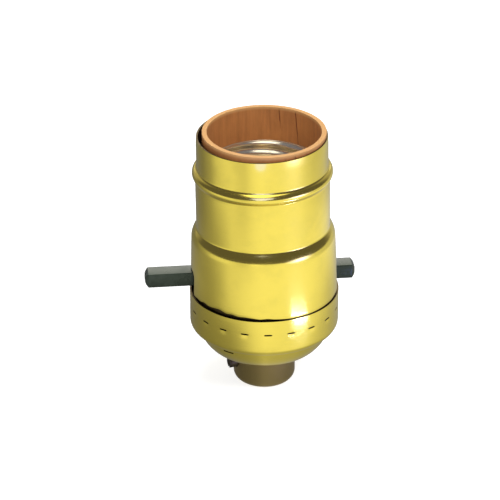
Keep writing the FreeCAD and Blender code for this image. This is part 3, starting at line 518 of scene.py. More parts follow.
def mix(tree, place, share, first, second, kind="RGBA"):
    """(1 - share) * first + share * second, for two colours or for two FLOAT values."""
    node = add(tree, "Mix", place, {"data_type": kind})
    entry, output = (6, 2) if kind == "RGBA" else (2, 0)
    for index, given in ((0, share), (entry, first), (entry + 1, second)):
        feed(tree, node.inputs[index], given)
    return node, output


def bump(tree, place, height, strength, distance):
    """The normal of a surface raised by a height."""
    inputs = {"Height": height, "Strength": strength, "Distance": distance}
    return add(tree, "Bump", place, **inputs), "Normal"


def surface(tree, **inputs):
    """Ends a material's tree with one Principled BSDF."""
    shader = add(tree, "BsdfPrincipled", (100, 0), **inputs)
    add(tree, "OutputMaterial", (400, 0), Surface=(shader, "BSDF"))


def handling_group():
    """Smudges and fine scratches of a handled surface, over Object coordinates: the upper
    levels of a broad noise, and the peaks of a fine one that is drawn out."""
    tree, start, end = new_group(
        "handling", {"Smudge Size": 90.0, "Scratch Size": 700.0}, ("Smudge", "Scratch")
    )
    place = coordinates(tree, (-900, 250))
    smudge = noise(tree, (-500, 250), place, (start, "Smudge Size"), 4.0, 0.62)
    soft = ranged(tree, (-250, 250), smudge, 0.0, 1.0, 0.42, 0.72)
    soft[0].interpolation_type = "SMOOTHSTEP"
    drawn = stretched(tree, (-700, -100), place, (1.0, 1.0, 0.16), (0.5, 0.25, 0.0))
    scratch = noise(tree, (-500, -100), drawn, (start, "Scratch Size"), 2.0)
    feed(tree, end.inputs["Smudge"], soft)
    feed(tree, end.inputs["Scratch"], ranged(tree, (-250, -100), scratch, 0.0, 1.0, 0.66, 0.72))


def lathe_group():
    """Rings that the spinning tool leaves: noise stretched flat across the Z axis."""
    tree, start, end = new_group("lathe", {"Ring Size": 2200.0}, ("Height",))
    flat = stretched(tree, (-700, 200), coordinates(tree, (-900, 200)), (0.004, 0.004, 1.0))
    rings = noise(tree, (-450, 200), flat, (start, "Ring Size"), 3.0, 0.7)
    feed(tree, end.inputs["Height"], rings)


def times(base, *shares):
    """A colour with its parts multiplied by one share or by three, and none over 1."""
    shares = shares * 3 if len(shares) == 1 else shares
    return tuple(min(part * share, 1) for part, share in zip(base, shares))


def spun_brass(finish):
    """Gilt, lacquered brass: bright, with faint spinning rings and smudges; brown and rougher
    below about 9 mm, on the neck."""
    material, tree = new_material("spun_gilt_brass")
    gilt = tuple(finish.gilt)
    handled = add_group(tree, "handling", (-900, 200), Smudge_Size=110.0, Scratch_Size=900.0)
    smudge = (handled, "Smudge")
    height = add(tree, "SeparateXYZ", (-900, -200), Vector=coordinates(tree, (-1100, -200)))
    # brown and rougher below about 9 mm, on the neck
    dull = ranged(tree, (-700, -200), (height, "Z"), 1.0, 0.0, 7.9 * MM, 9.6 * MM)
    smudged = mix(tree, (-600, 200), smudge, gilt, times(gilt, 0.93))
    polish = ranged(tree, (-600, 0), smudge, 0.17, 0.24)
    rings = add_group(tree, "lathe", (-600, -400), Ring_Size=2600.0)
    surface(
        tree, Metallic=1.0, Coat_Weight=0.25, Coat_Roughness=0.08, Coat_IOR=1.45,
        Base_Color=mix(tree, (-300, 200), dull, smudged, tuple(finish.hub)),
        Roughness=mix(tree, (-300, -50), dull, polish, 0.5, "FLOAT"),
        Normal=bump(tree, (-200, -400), (rings, "Height"), 0.06, 0.0001),
    )
    return material


def fibre_board(finish):
    """Vulcanised fibre: matt, tan to red-brown, streaked along its height, with a few thin
    cracks, and paler within 0.9 mm of its top."""
    material, tree = new_material("vulcanised_fibre")
    tan = tuple(finish.fibre)
    place = coordinates(tree, (-1300, 0))
    tall = stretched(tree, (-1100, 150), place, (1.0, 1.0, 0.09))
    streaks = noise(tree, (-900, 150), tall, 900.0, 6.0, 0.62)
    ramp = add(tree, "ValToRGB", (-650, 150), Fac=streaks)
    for stop, (level, share) in zip(ramp.color_ramp.elements, ((0.28, 0.78), (0.74, 1.14))):
        stop.position, stop.color = level, (*times(tan, share), 1)
    grain = (ramp, "Color")
    blotches = noise(tree, (-900, -100), place, 160.0, 3.0)
    patch = ranged(tree, (-650, -100), blotches, 0.0, 0.5, 0.4, 0.75)
    paler = mix(tree, (-350, 150), patch, grain, times(tan, 1.25, 1.3, 1.2))
    slim = stretched(tree, (-1100, -350), place, (1.0, 1.0, 0.22), (0.2, 0.12, 0.0))
    feature = {"feature": "DISTANCE_TO_EDGE"}
    cells = add(tree, "TexVoronoi", (-900, -350), feature, Vector=slim, Scale=170.0)
    line = ranged(tree, (-650, -350), (cells, "Distance"), 1.0, 0.0, 0.004, 0.02)
    some = noise(tree, (-900, -600), place, 120.0, 1.0)
    some = ranged(tree, (-650, -600), some, 0.0, 1.0, 0.56, 0.62)
    cracks = combined(tree, (-400, -400), "MULTIPLY", line, some)
    cracked = mix(tree, (-120, 150), cracks, paler, times(tan, 0.28, 0.2, 0.16))
    # paler within 0.9 mm of the top: the rim and the upper edge of both walls
    height = add(tree, "SeparateXYZ", (-350, 450), Vector=place)
    low, high = (LINER_TOP - 0.9) * MM, (LINER_TOP - 0.15) * MM
    edge = ranged(tree, (-150, 450), (height, "Z"), 0.0, 1.0, low, high)
    cut = mix(tree, (0, 350), grain, times(tan, 1.35, 1.85, 2.3), times(tan, 1.5, 2.1, 2.6))
    relief = combined(tree, (-200, -250), "SUBTRACT", streaks, cracks)
    surface(
        tree, Roughness=0.72, Specular_IOR_Level=0.35,
        Base_Color=mix(tree, (60, 200), edge, cracked, cut),
        Normal=bump(tree, (-50, -250), relief, 0.35, 0.00025),
    )
    return material


def plain_metal(name, base, roughness, tint=0.88, size=500.0, metallic=1.0):
    """A worked metal: smudges change its colour and gloss, and scratches roughen it."""
    material, tree = new_material(name)
    handled = add_group(tree, "handling", (-700, 100), Smudge_Size=size, Scratch_Size=3 * size)
    smudge = (handled, "Smudge")
    surface(
        tree, Metallic=metallic,
        Base_Color=mix(tree, (-350, 150), smudge, base, times(base, tint)),
        Roughness=ranged(tree, (-350, -50), smudge, roughness, roughness + 0.12),
        Normal=bump(tree, (-350, -300), (handled, "Scratch"), 0.2, 0.00003),
    )
    return material


def moulded(name, base, roughness, sheen=(1.0, 1.0, 1.0)):
    """A phenolic moulding: a faint flow pattern, dust in its low gloss, a fine orange peel."""
    material, tree = new_material(name)
    handled = add_group(tree, "handling", (-700, 100), Smudge_Size=240.0, Scratch_Size=1400.0)
    smudge = (handled, "Smudge")
    paler = tuple(min(1.7 * part + 0.012, 1) for part in base)
    peel = noise(tree, (-700, -300), coordinates(tree, (-900, -300)), 1600.0, 2.0)
    surface(
        tree, Specular_IOR_Level=0.5, Specular_Tint=sheen,
        Base_Color=mix(tree, (-350, 150), smudge, base, paler),
        Roughness=ranged(tree, (-350, -50), smudge, roughness, roughness + 0.14),
        Normal=bump(tree, (-350, -300), peel, 0.12, 0.00005),
    )
    return material


FINISHES = {}


def finish_of(slot):
    """The material of a slot of the record."""
    return bpy.data.materials[FINISHES[slot]]


class HOLDER_OT_finishes(bpy.types.Operator):
    """Mixes the brass, fibre, moulding and steel finishes"""

    bl_idname = "holder.finishes"
    bl_label = "Finishes"

    def execute(self, context):
        finish = context.scene.holder_finish
        handling_group()
        lathe_group()
        moulding, block = tuple(finish.moulding), tuple(finish.block)
        rolled = (0.90, 0.81, 0.60)
        materials = {
            "gilt_brass": spun_brass(finish),
            # Unpolished brass, darkened as painted shade for the seam's web, the slits' sides and
            # the sheets' insides
            "unpolished_shaded": plain_metal("unpolished_shaded_brass", (0.13, 0.092, 0.035), 0.5),
            "hub_brass": plain_metal("turned_hub_brass", tuple(finish.hub), 0.42, 0.7),
            "fibre": fibre_board(finish),
            "aluminium": plain_metal("rolled_aluminium", rolled, 0.15, 0.85, 120.0, 0.9),
            "black_phenolic": moulded("bar_moulding", moulding, 0.26, (0.86, 1.0, 0.72)),
            "moulded_block": moulded("block_moulding", block, 0.36),
            "contact_brass": plain_metal("contact_brass", (0.80, 0.60, 0.27), 0.24),
            "plated_steel": plain_metal("plated_steel", (0.62, 0.61, 0.59), 0.26),
            "dark_steel": plain_metal("oxidised_steel", (0.16, 0.125, 0.085), 0.42, 0.6),
        }
        FINISHES.update({slot: material.name for slot, material in materials.items()})
        return {"FINISHED"}


# ---- pieces ----------------------------------------------------------------------------


def shell_profile(size, hem, skirt):
    """The shell's outside from the mouth down, as (radius, height): the wall above the bead,
    the bead's and the shoulder's crowns, the rounded hem, its web and the skirt."""
    mouth = np.array([size.mouth_radius, size.mouth_top])
    web = size.hem_level - HEM_CURVE - 0.2
    return np.concatenate([
        mouth + [[-0.1, 0], [-0.05, -0.8], [0, -1.9]],
        crown(size.mouth_radius, size.barrel_radius, size.bead_radius, size.bead_level, 0.7, 1.5),
        crown(size.barrel_radius, None, size.body_radius, size.shoulder_level, 1.0, 4.5),
        arc((hem - HEM_CURVE, size.hem_level), HEM_CURVE, 0, -90, 18),
        arc((skirt + 0.2, web), 0.2, 90, 180, 30),
        [[skirt, SKIRT_FOOT]],
    ])


def seam_rise(heights, angles, size):
    """How far each point near the hem rises to leave the uneven seam: the gap read from SEAM,
    plus a ripple in proportion to it, less the gap that the hem's foot has already. The shell
    leans in the cap, so that gap grows by radius * lean * cos(turn). The rise fades out up
    the wall and down the skirt."""
    gap = np.interp(angles, np.radians(SEAM[:, 0]), SEAM[:, 1])
    gap = gap + size.seam_wave * np.clip(gap, 0.1, 1.0) * ripple(angles, 4, (7, 17, 26, 38))
    had = size.hem_level - HEM_CURVE - CAP_RIM + size.lean * CAP_RADIUS * np.cos(angles)
    fade = 1 - smooth_step(size.hem_level + 0.2, size.hem_level + 5.0, heights)
    return fade * smooth_step(22.0, 24.6, heights) * (gap - had)


class HOLDER_OT_shell(bpy.types.Operator):
    """Builds the spun brass shell with its bead, shoulder, hem and two bar slots"""

    bl_idname = "holder.shell"
    bl_label = "Outer shell"

    def execute(self, context):
        """Turns the profile, raises it to the seam, opens the slots and gives it its wall. The
        wall's inside and edges and the web under the hem take the unpolished brass, darkened
        as painted shade so that the seam and the slots read dark."""
        size = sizes_of(context.scene.holder_shell)
        hem, skirt = CAP_RADIUS - 0.25, CAP_RADIUS - size.sheet - 0.45
        path = filled(shell_profile(size, hem, skirt), 0.7)
        angles = angles_with(176, dense=(0, np.pi), width=0.26, extra=30)
        points = turned(path, angles)
        points[..., 2] += seam_rise(points[..., 2], angles, size)
        flat, quads = cut_slots(points, bar_slot(size))
        # the web under the hem, the wall's inside and its edges get brass darkened as painted
        # shade
        under = (path[:, 0] < hem - 0.1) & (np.abs(path[:, 1] - size.hem_level + 1.1) < 1.2)
        dull = under[quads[:, 0] // len(angles)]
        flat, quads = walled(flat, quads, outward(points), size.sheet)
        dull = np.concatenate([dull, np.ones(len(quads) - len(dull), bool)])
        flat = leaned(flat, size.lean)
        shell = make_piece("shell", flat, quads, "shell", "gilt_brass", "outer_shell", dull=dull)
        soften(shell, 0.07)
        return {"FINISHED"}


def cap_profile(size):
    """The cap's outside as (radius, height), in two parts that meet across the snap slits:
    the rim and upper belt; then the lower belt, its rounded foot, the step, the bowl, the
    fillet and the neck. The bowl has a row of points at each edge of the lanced slit."""
    half, neck, foot = size.slit_width / 2, size.neck_radius, size.bowl_foot
    upper = filled(np.array([[CAP_RADIUS, CAP_RIM], [CAP_RADIUS, size.slit_level + half]]), 0.45)
    bowl = arc_between((CAP_RADIUS - 2.1, BELT_FOOT - 2.1), (neck + 0.8, foot), 8.0)
    levels = np.concatenate([bowl[:, 1], [size.lance_level + half, size.lance_level - half]])
    levels = levels[np.argsort(-levels)]
    lower = filled(np.concatenate([
        [[CAP_RADIUS, size.slit_level - half]],
        arc((CAP_RADIUS - 1.7, BELT_FOOT), 1.7, 0, -86),
        arc((CAP_RADIUS - 1.7, BELT_FOOT - 2.1), 0.4, 94, 176, 20),
        np.stack([np.interp(levels, bowl[::-1, 1], bowl[::-1, 0]), levels], 1),
        arc((neck + 0.8, foot - 0.8), 0.8, 104, 180, 14),
        arc((neck - 2.2, 2.2), 2.2, 0, -86),
        [[neck - 2.2, 0.0]],
    ]), 0.6)
    return upper, lower


def work_cap(points, angles, across, reach, size):
    """Presses a dent of 0.1 mm round each slit, a bell curve over its height and a parabola
    along it, and makes the rim a little wavy in height and radius."""
    near = np.exp(-(((points[..., 2] - size.slit_level + 0.35) / 0.42) ** 2))
    dent = 0.1 * near * np.clip(1 - (across / (1.25 * reach)) ** 2, 0, 1)
    points[..., :2] *= (1 - dent / np.hypot(points[..., 0], points[..., 1]))[..., None]
    top = smooth_step(CAP_RIM - 1.2, CAP_RIM, points[..., 2])
    points[..., 2] += top * 0.09 * ripple(angles, 9, (3, 5, 9, 14))
    points[..., :2] *= (1 + top * 0.004 * ripple(angles, 12, (2, 3, 7)))[..., None]


class HOLDER_OT_cap(bpy.types.Operator):
    """Builds the drawn cap with its bowl, neck, row of snap slits and lanced slit"""

    bl_idname = "holder.cap"
    bl_label = "Cap"

    def execute(self, context):
        """Turns the two profiles on columns that put nine points along each snap slit. Between
        the profiles lies one row of faces, which is left out where there is a slit."""
        size = sizes_of(context.scene.holder_cap)
        upper, lower = cap_profile(size)
        path = np.concatenate([upper, lower])
        period = 2 * np.pi / size.slit_count
        reach = size.slit_length / 2 / CAP_RADIUS
        one = np.concatenate([
            np.linspace(-reach, reach, 9), np.linspace(reach, period - reach, 7)[1:-1],
        ])
        angles = (FIRST_SLIT + np.arange(size.slit_count)[:, None] * period + one).ravel()
        angles = np.sort(angles % (2 * np.pi))
        points = turned(path, angles)
        across = (angles - FIRST_SLIT + period / 2) % period - period / 2

        # the slits' edges close in towards their ends
        lens = np.sqrt(np.clip(1 - np.abs(across / (reach * 1.02)) ** 5, 0.0, 1))
        slit = len(upper) - 1
        edges = points[slit : slit + 2, :, 2]
        edges[:] = size.slit_level + (edges - size.slit_level) * np.maximum(lens, 0.4)
        work_cap(points, angles, across, reach, size)

        quads = faces_of(*points.shape[:2])
        keep = np.ones(quads.shape[:2], bool)
        step = np.diff(across, append=across[0])
        keep[slit, (np.abs(across + step / 2) < reach) & (np.abs(step) < reach)] = False
        lance = np.argmin(np.abs(path[:, 1] - size.lance_level - size.slit_width / 2))
        middle = angles + np.diff(angles, append=angles[0] + 2 * np.pi) / 2
        keep[lance, np.abs(middle - LANCE_TURN) < LANCE_HALF] = False

        flat, quads = walled(points.reshape(-1, 3), quads[keep], outward(points), CAP_SHEET)
        # the cap's inside and its cut edges, the slits' sides among them, take unpolished brass
        # darkened as painted shade
        dull = np.arange(len(quads)) >= keep.sum()
        cap = make_piece("cap_shell", flat, quads, "base", "gilt_brass", "cap", dull=dull)
        drill_screw_hole(cap, 6.0, 10.0)
        soften(cap, 0.05, 55)
        return {"FINISHED"}


class HOLDER_OT_liner(bpy.types.Operator):
    """Builds the fibre tube that stands out of the shell's mouth"""

    bl_idname = "holder.liner"
    bl_label = "Fibre liner"

    def execute(self, context):
        """A turned tube whose rim is 0.05 mm wavy in height, and whose wall is 0.25% out of
        round."""
        size = sizes_of(context.scene.holder_shell)
        path = filled(np.array([[LINER_RADIUS, LINER_TOP], [LINER_RADIUS, LINER_FOOT]]), 0.55)
        angles = angles_with(180, dense=(0, np.pi), width=0.3, extra=28)
        points = turned(path, angles)
        top = smooth_step(LINER_TOP - 2.0, LINER_TOP, points[..., 2])
        points[..., 2] += 0.05 * top * ripple(angles, 21, (2, 5, 11, 23, 37))
        points[..., :2] *= (1 + 0.0025 * ripple(angles, 30, (2, 3, 6)))[..., None]
        flat, quads = cut_slots(points, bar_slot(size, 0.15))
        flat, quads = walled(flat, quads, outward(points), LINER_WALL)
        liner = make_piece("fibre_liner", flat, quads, "shell", "fibre", "shell_liner")
        soften(liner, 0.2)
        return {"FINISHED"}


class HOLDER_OT_screw_shell(bpy.types.Operator):
    """Rolls the aluminium screw shell with its true helical thread"""

    bl_idname = "holder.screw_shell"
    bl_label = "Screw shell"

    def execute(self, context):
        """The wall's radius is the middle of the thread plus half its depth times
        cos(2 pi height / pitch - turn). The wave runs out into a plain lip above and into
        the floor's rounded corner below."""
        size = sizes_of(context.scene.holder_thread)
        sheet, corner = 0.3, 0.9
        top, foot, half = SCREW_SHELL_TOP, SCREW_SHELL_FOOT, size.lamp_depth / 2
        inner = SCREW_SHELL_RADIUS - size.lamp_depth
        levels = np.linspace(top, foot + corner, 78)
        turn_in = arc((inner - corner, foot + corner), corner, 0, -90, 15)[1:]
        floor = np.linspace(turn_in[-1], (inner - sheet - 3.7, foot), 6)[1:]
        wall = np.stack([0 * levels + SCREW_SHELL_RADIUS, levels], 1)
        angles = np.linspace(0, 2 * np.pi, 144, endpoint=False)
        points = turned(np.concatenate([wall, turn_in, floor]), angles)
        z = points[: len(wall), :, 2]
        phase = 2 * np.pi * (z - foot) / size.lamp_pitch - angles
        high = smooth_step(top - 1.3, top - 0.3, z)
        low = 1 - smooth_step(foot + 3.0, foot + 5.2, z)
        wave = np.cos(phase) * (1 - high) * (1 - low) + high - low
        lip = 0.12 * smooth_step(top - 0.5, top, z)
        radius = SCREW_SHELL_RADIUS - half + half * wave + lip
        points[: len(wall), :, 0] = radius * np.cos(angles)
        points[: len(wall), :, 1] = radius * np.sin(angles)
        quads = faces_of(*points.shape[:2]).reshape(-1, 4)
        flat, quads = walled(points.reshape(-1, 3), quads, outward(points), sheet)
        rolled = make_piece("lamp_screw_shell", flat, quads, "base", "aluminium", "screw_shell")
        soften(rolled, 0.11)
        return {"FINISHED"}


class HOLDER_OT_hub(bpy.types.Operator):
    """Turns the hub's bushing and cuts its pipe thread"""

    bl_idname = "holder.hub"
    bl_label = "Hub bushing"

    def execute(self, context):
        """The bore's radius is its crest plus a V groove, depth * (1 - 2.6 |phase - 1/2|),
        where the phase is the height in pitches less the turn in rounds."""
        size = sizes_of(context.scene.holder_thread)
        bore = 4.55
        z = np.linspace(0.35, HUB_TOP - 0.5, 96)
        outside = filled(np.concatenate([
            [[bore + 0.5, HUB_TOP], [HUB_RADIUS, HUB_TOP]],
            arc((HUB_RADIUS - 1.8, 2.2), 1.8, 0, -80, 20),
            [[HUB_RADIUS - 1.8, 0.02], [bore + 0.35, 0.02]],
        ]), 1.0)
        path = np.concatenate([outside, np.stack([0 * z + bore, z], 1)])
        angles = np.linspace(0, 2 * np.pi, 96, endpoint=False)
        points = turned(path, angles)
        phase = (z[:, None] / size.pipe_pitch - angles / (2 * np.pi)) % 1
        groove = size.pipe_depth * np.clip(1 - 2.6 * np.abs(phase - 0.5), 0, 1)
        groove *= smooth_step(HUB_TOP - 0.5, HUB_TOP - 1.3, z)[:, None]
        points[len(outside):, :, 0] = (bore + groove) * np.cos(angles)
        points[len(outside):, :, 1] = (bore + groove) * np.sin(angles)
        quads = faces_of(*points.shape[:2], close_rows=True)
        hub = make_piece("hub_bush", points, quads, "base", "hub_brass", "hub_bushing")
        drill_screw_hole(hub, 3.0, 9.0)
        return {"FINISHED"}


class HOLDER_OT_bar(bpy.types.Operator):
    """Moulds the push bar with its rounded edges, tapered tips and rocker notch"""

    bl_idname = "holder.bar"
    bl_label = "Push bar"

    def execute(self, context):
        """A rounded oblong carried along X: each corner is a quarter circle about
        (half width - corner - inset, half depth - corner - inset), with the inset read from
        BAR_TIP near the ends. Three small rings close each end."""
        centre, half = (BAR_LOW + BAR_HIGH) / 2, (BAR_HIGH - BAR_LOW) / 2
        corner = 0.2
        plain = np.linspace(1.6, half[0], 22)
        along = np.concatenate([BAR_TIP[:, 0], plain]) - half[0]
        inset = np.concatenate([BAR_TIP[:, 1], 0 * plain])
        along = np.concatenate([along, -along[-2::-1]])[:, None]
        inset = np.concatenate([inset, inset[-2::-1]])[:, None]
        quarter = np.radians(np.linspace(0, 90, 5))
        corners = []
        for index, (sy, sz) in enumerate(((1, 1), (-1, 1), (-1, -1), (1, -1))):
            a = quarter + index * np.pi / 2
            y = sy * (half[1] - corner - inset) + corner * np.cos(a)
            z = sz * (half[2] - corner - inset) + corner * np.sin(a)
            corners.append(np.stack([along + 0 * y, y, z], -1))
        points = np.concatenate(corners, 1)
        points = np.concatenate([
            self.closing(points[0], -1)[::-1], points, self.closing(points[-1], 1),
        ])
        quads = faces_of(*points.shape[:2])[:, :, ::-1]
        bar = make_piece(
            "moulded_push_bar", points + centre, quads, "bar", "black_phenolic", "push_bar", 28.0
        )
        weld = bar.modifiers.new("Weld", "WELD")
        weld.merge_threshold = 0.05 * MM
        notch = np.array([[-1.25, -1.5], [1.25, -1.5], [1.25, 1.5], [-1.25, 1.5]]) + centre[:2]
        ends = [np.insert(notch, 2, level, 1) for level in (BAR_LOW[2] - 1, centre[2] + 1.2)]
        subtract(bar, np.concatenate(ends))
        bar.data.set_sharp_from_angle(angle=np.radians(28.0))
        bar.visible_glossy = False
        return {"FINISHED"}

    def closing(self, ring, side):
        """Three rings inside an end ring, the last of them almost a point."""
        middle = ring.mean(0)
        rings = middle + (ring - middle) * np.array([0.66, 0.33, 0.02])[:, None, None]
        rings[..., 0] += side * 0.02
        return rings


class HOLDER_OT_inner(bpy.types.Operator):
    """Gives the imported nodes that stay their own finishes"""

    bl_idname = "holder.inner"
    bl_label = "Inner parts"

    def execute(self, context):
        slots = {row["node"]: row["material_slot"] for row in frame["record"]["subparts"]}
        for name, node in frame["nodes"].items():
            if not node.hide_render:
                node.data.materials.clear()
                node.data.materials.append(finish_of(slots[name]))
        return {"FINISHED"}


# ---- stage -----------------------------------------------------------------------------

# Brightness of the floor in per cent as the upright wall mirrors it: a row for each height of
# the wall and a column for each direction of the mirrored ray, in degrees from the camera
WALL_RADIUS = 17.0
WALL_LEVELS = np.array([6, 14, 21, 33, 49, 61, 900.0])
RAY_TURNS = [-180, -125, -100, -85, -70, -55, -42, -30, -15, 0, 50, 65, 80, 100, 120, 135, 180]
FLOOR_TABLE = np.array([
    [20, 20, 20, 22, 24, 26, 28, 32, 38, 50, 45, 42, 38, 35, 33, 30, 20],
    [18, 20, 20, 21, 24, 27, 32, 45, 72, 93, 90, 80, 60, 50, 45, 40, 30],
    [18, 18, 23, 25, 27, 29, 42, 62, 86, 97, 88, 90, 82, 62, 46, 42, 30],
    [22, 31, 29, 33, 48, 74, 88, 97, 100, 100, 100, 100, 97, 80, 63, 59, 35],
    [20, 21, 32, 42, 56, 76, 73, 74, 90, 100, 100, 100, 100, 100, 98, 90, 40],
    [20, 20, 36, 66, 81, 85, 74, 68, 93, 100, 97, 93, 78, 64, 60, 58, 30],
    [20, 22, 36, 60, 75, 80, 76, 74, 93, 100, 97, 93, 78, 64, 60, 58, 30],
]) / 100
NEAREST = 26.0  # inside this radius no wall point mirrors the floor

FLOOR_COLOUR, FLOOR_GLOW, WORLD_LEVEL = (0.62, 0.62, 0.62), 0.72, 0.42
DOME_RADIUS = 1.6  # in metres
LENS, SHIFT = 205.6, (-0.0284, 0.0232)

LAMPS = (  # name, place, width and power
    ("key", (0.45, -0.75, 1.0), 0.35, 9.0),
    ("fill", (-0.9, -0.5, 0.7), 0.6, 3.0),
    ("top", (0.0, 0.15, 1.2), 0.5, 5.0),
)


def glowing(name, strength=(1, 1, 1), attribute=None):
    """A material that only shines, evenly or as a point attribute says."""
    material, tree = new_material(name)
    if attribute:
        strength = (add(tree, "Attribute", (-250, 0), {"attribute_name": attribute}), "Color")
    glow = add(tree, "Emission", (0, 0), Color=strength, Strength=1.0)
    add(tree, "OutputMaterial", (300, 0), Surface=(glow, "Emission"))
    return material


def background_rays(tree, place):
    """1 for the rays that show the background: camera, glossy and transmission rays."""
    rays = add(tree, "LightPath", place)
    shown = (rays, "Is Camera Ray")
    for step, kind in enumerate(("Is Glossy Ray", "Is Transmission Ray"), 1):
        beside = (place[0] + 200 * step, place[1])
        shown = combined(tree, beside, "MAXIMUM", shown, (rays, kind))
    return shown


def for_gloss_only(thing):
    """Makes a thing part of the stage that only glossy rays see."""
    thing.visible_camera = thing.visible_diffuse = thing.visible_shadow = False
    thing.visible_transmission = thing.visible_volume_scatter = False


def spot(azimuth, middle, width):
    """A bell curve over the azimuth."""
    return np.exp(-(((azimuth - middle) / width) ** 2))


def floor_shade(azimuth, reach):
    """Colour of the floor at an azimuth from the camera and a distance from the axis. A wall
    point at azimuth p and height z mirrors the floor point at the wall + z / tan(view's fall)
    towards azimuth 2p, so each floor point is traced back, by halving the error in p, to its
    2p and z, and read from the table. A lamp stands beyond it on the right."""
    a, r = np.meshgrid(np.radians(azimuth), np.maximum(reach / MM, NEAREST))
    x, y = r * np.sin(a), r * np.cos(a)
    p = a / 2
    for _ in range(40):
        dx, dy = x - WALL_RADIUS * np.sin(p), y - WALL_RADIUS * np.cos(p)
        p = 0.5 * p + 0.25 * np.arctan2(dx, dy)
    away = np.hypot(x - WALL_RADIUS * np.sin(p), y - WALL_RADIUS * np.cos(p))
    z = away * np.tan(VIEW_FALL)
    twice = np.degrees(2 * p)
    columns = np.stack([np.interp(twice, RAY_TURNS, row) for row in FLOOR_TABLE])
    place = np.interp(z, WALL_LEVELS, np.arange(len(WALL_LEVELS)))
    low = np.clip(place.astype(int), 0, len(WALL_LEVELS) - 2)
    part = place - low
    lower, upper = (np.take_along_axis(columns, k[None], 0)[0] for k in (low, low + 1))
    shade = lower * (1 - part) + upper * part
    shade = shade + 0.2 * smooth_step(85, 125, z) * spot(twice, -8, 13)
    lamp = 3.2 * smooth_step(75, 150, z) * spot(twice, 57, 12)
    return np.stack([shade + lamp, shade + lamp, shade + 4 * lamp], -1)


def dome_shade(azimuth, height):
    """Colour of the dome: dark walls, a long soft box overhead, a bright screen behind the
    object and two lamps low on the camera's side."""
    across = np.cos(np.radians(height)) * np.sin(np.radians(azimuth + 8))
    box = smooth_step(54, 62, height) * (1 - smooth_step(0.17, 0.27, np.abs(across)))
    behind = smooth_step(112, 140, np.abs(azimuth))
    rear = smooth_step(146, 160, np.abs(azimuth)) * smooth_step(8, 16, height)
    rear = rear * (1 - smooth_step(44, 56, height))
    level = 0.11 + 0.3 * behind + 2.2 * rear + 1.7 * box
    level = level + 0.2 * spot(azimuth, -8, 13) * (1 - smooth_step(2, 9, height))
    lamp = 2.6 * spot(azimuth, 57, 12) * (1 - smooth_step(2, 8, height))
    return np.stack([level + lamp, 0.96 * level + lamp, 0.9 * level + 0.05 + 4 * lamp], -1)


def hang_card(name, centre, across, up, strength):
    """An oval card: centre + across * cos a + up * sin a. The three are in millimetres along
    the camera's right, towards the camera, and up."""
    right = [np.cos(VIEW_TURN), -np.sin(VIEW_TURN), 0]
    nearer = [-np.sin(VIEW_TURN), -np.cos(VIEW_TURN), 0]
    a = np.linspace(0, 2 * np.pi, 32, endpoint=False)[:, None]
    points = np.array(centre) + np.cos(a) * np.array(across) + np.sin(a) * np.array(up)
    mesh = bpy.data.meshes.new(name)
    mesh.from_pydata(points @ np.array([right, nearer, [0, 0, 1]]) * MM, [], [list(range(32))])
    mesh.materials.append(glowing(name, strength))
    for_gloss_only(linked(name, mesh))


def hang_cards():
    """Four near cards. The first lies where the wall mirrors the floor: for a wall normal at
    an azimuth p from the camera and a height z, that is the wall point plus
    z / tan(view's fall) towards 2p. Two stand before the bead and the wall above it, and the
    last hangs over the mouth."""
    p, level, wall = np.radians(28.0), 25.2, 17.95
    ahead = np.array([np.sin(2 * p), np.cos(2 * p), 0])
    side = np.array([np.cos(2 * p), -np.sin(2 * p), 0])
    point = np.array([wall * np.sin(p), wall * np.cos(p), 0.7])
    centre = point + level / np.tan(VIEW_FALL) * ahead
    hang_card("floor_lamp", centre, 14.0 * side, 1.5 * ahead, (18, 20, 80))
    hang_card("wall_card", (-1.6, 32, 60.8), (4.0, 0, 0), (0, 0, 3.2), (1.0, 1.1, 3.6))
    hang_card("bead_card", (-0.4, 32, 67.5), (8.0, 0, 0), (0, 0, 6.5), (1.1, 1.2, 4.6))
    hang_card("mouth_card", (0, 12, 79), (13, 0, 0), (0, 9.5, 0), (1.9, 1.85, 1.8))


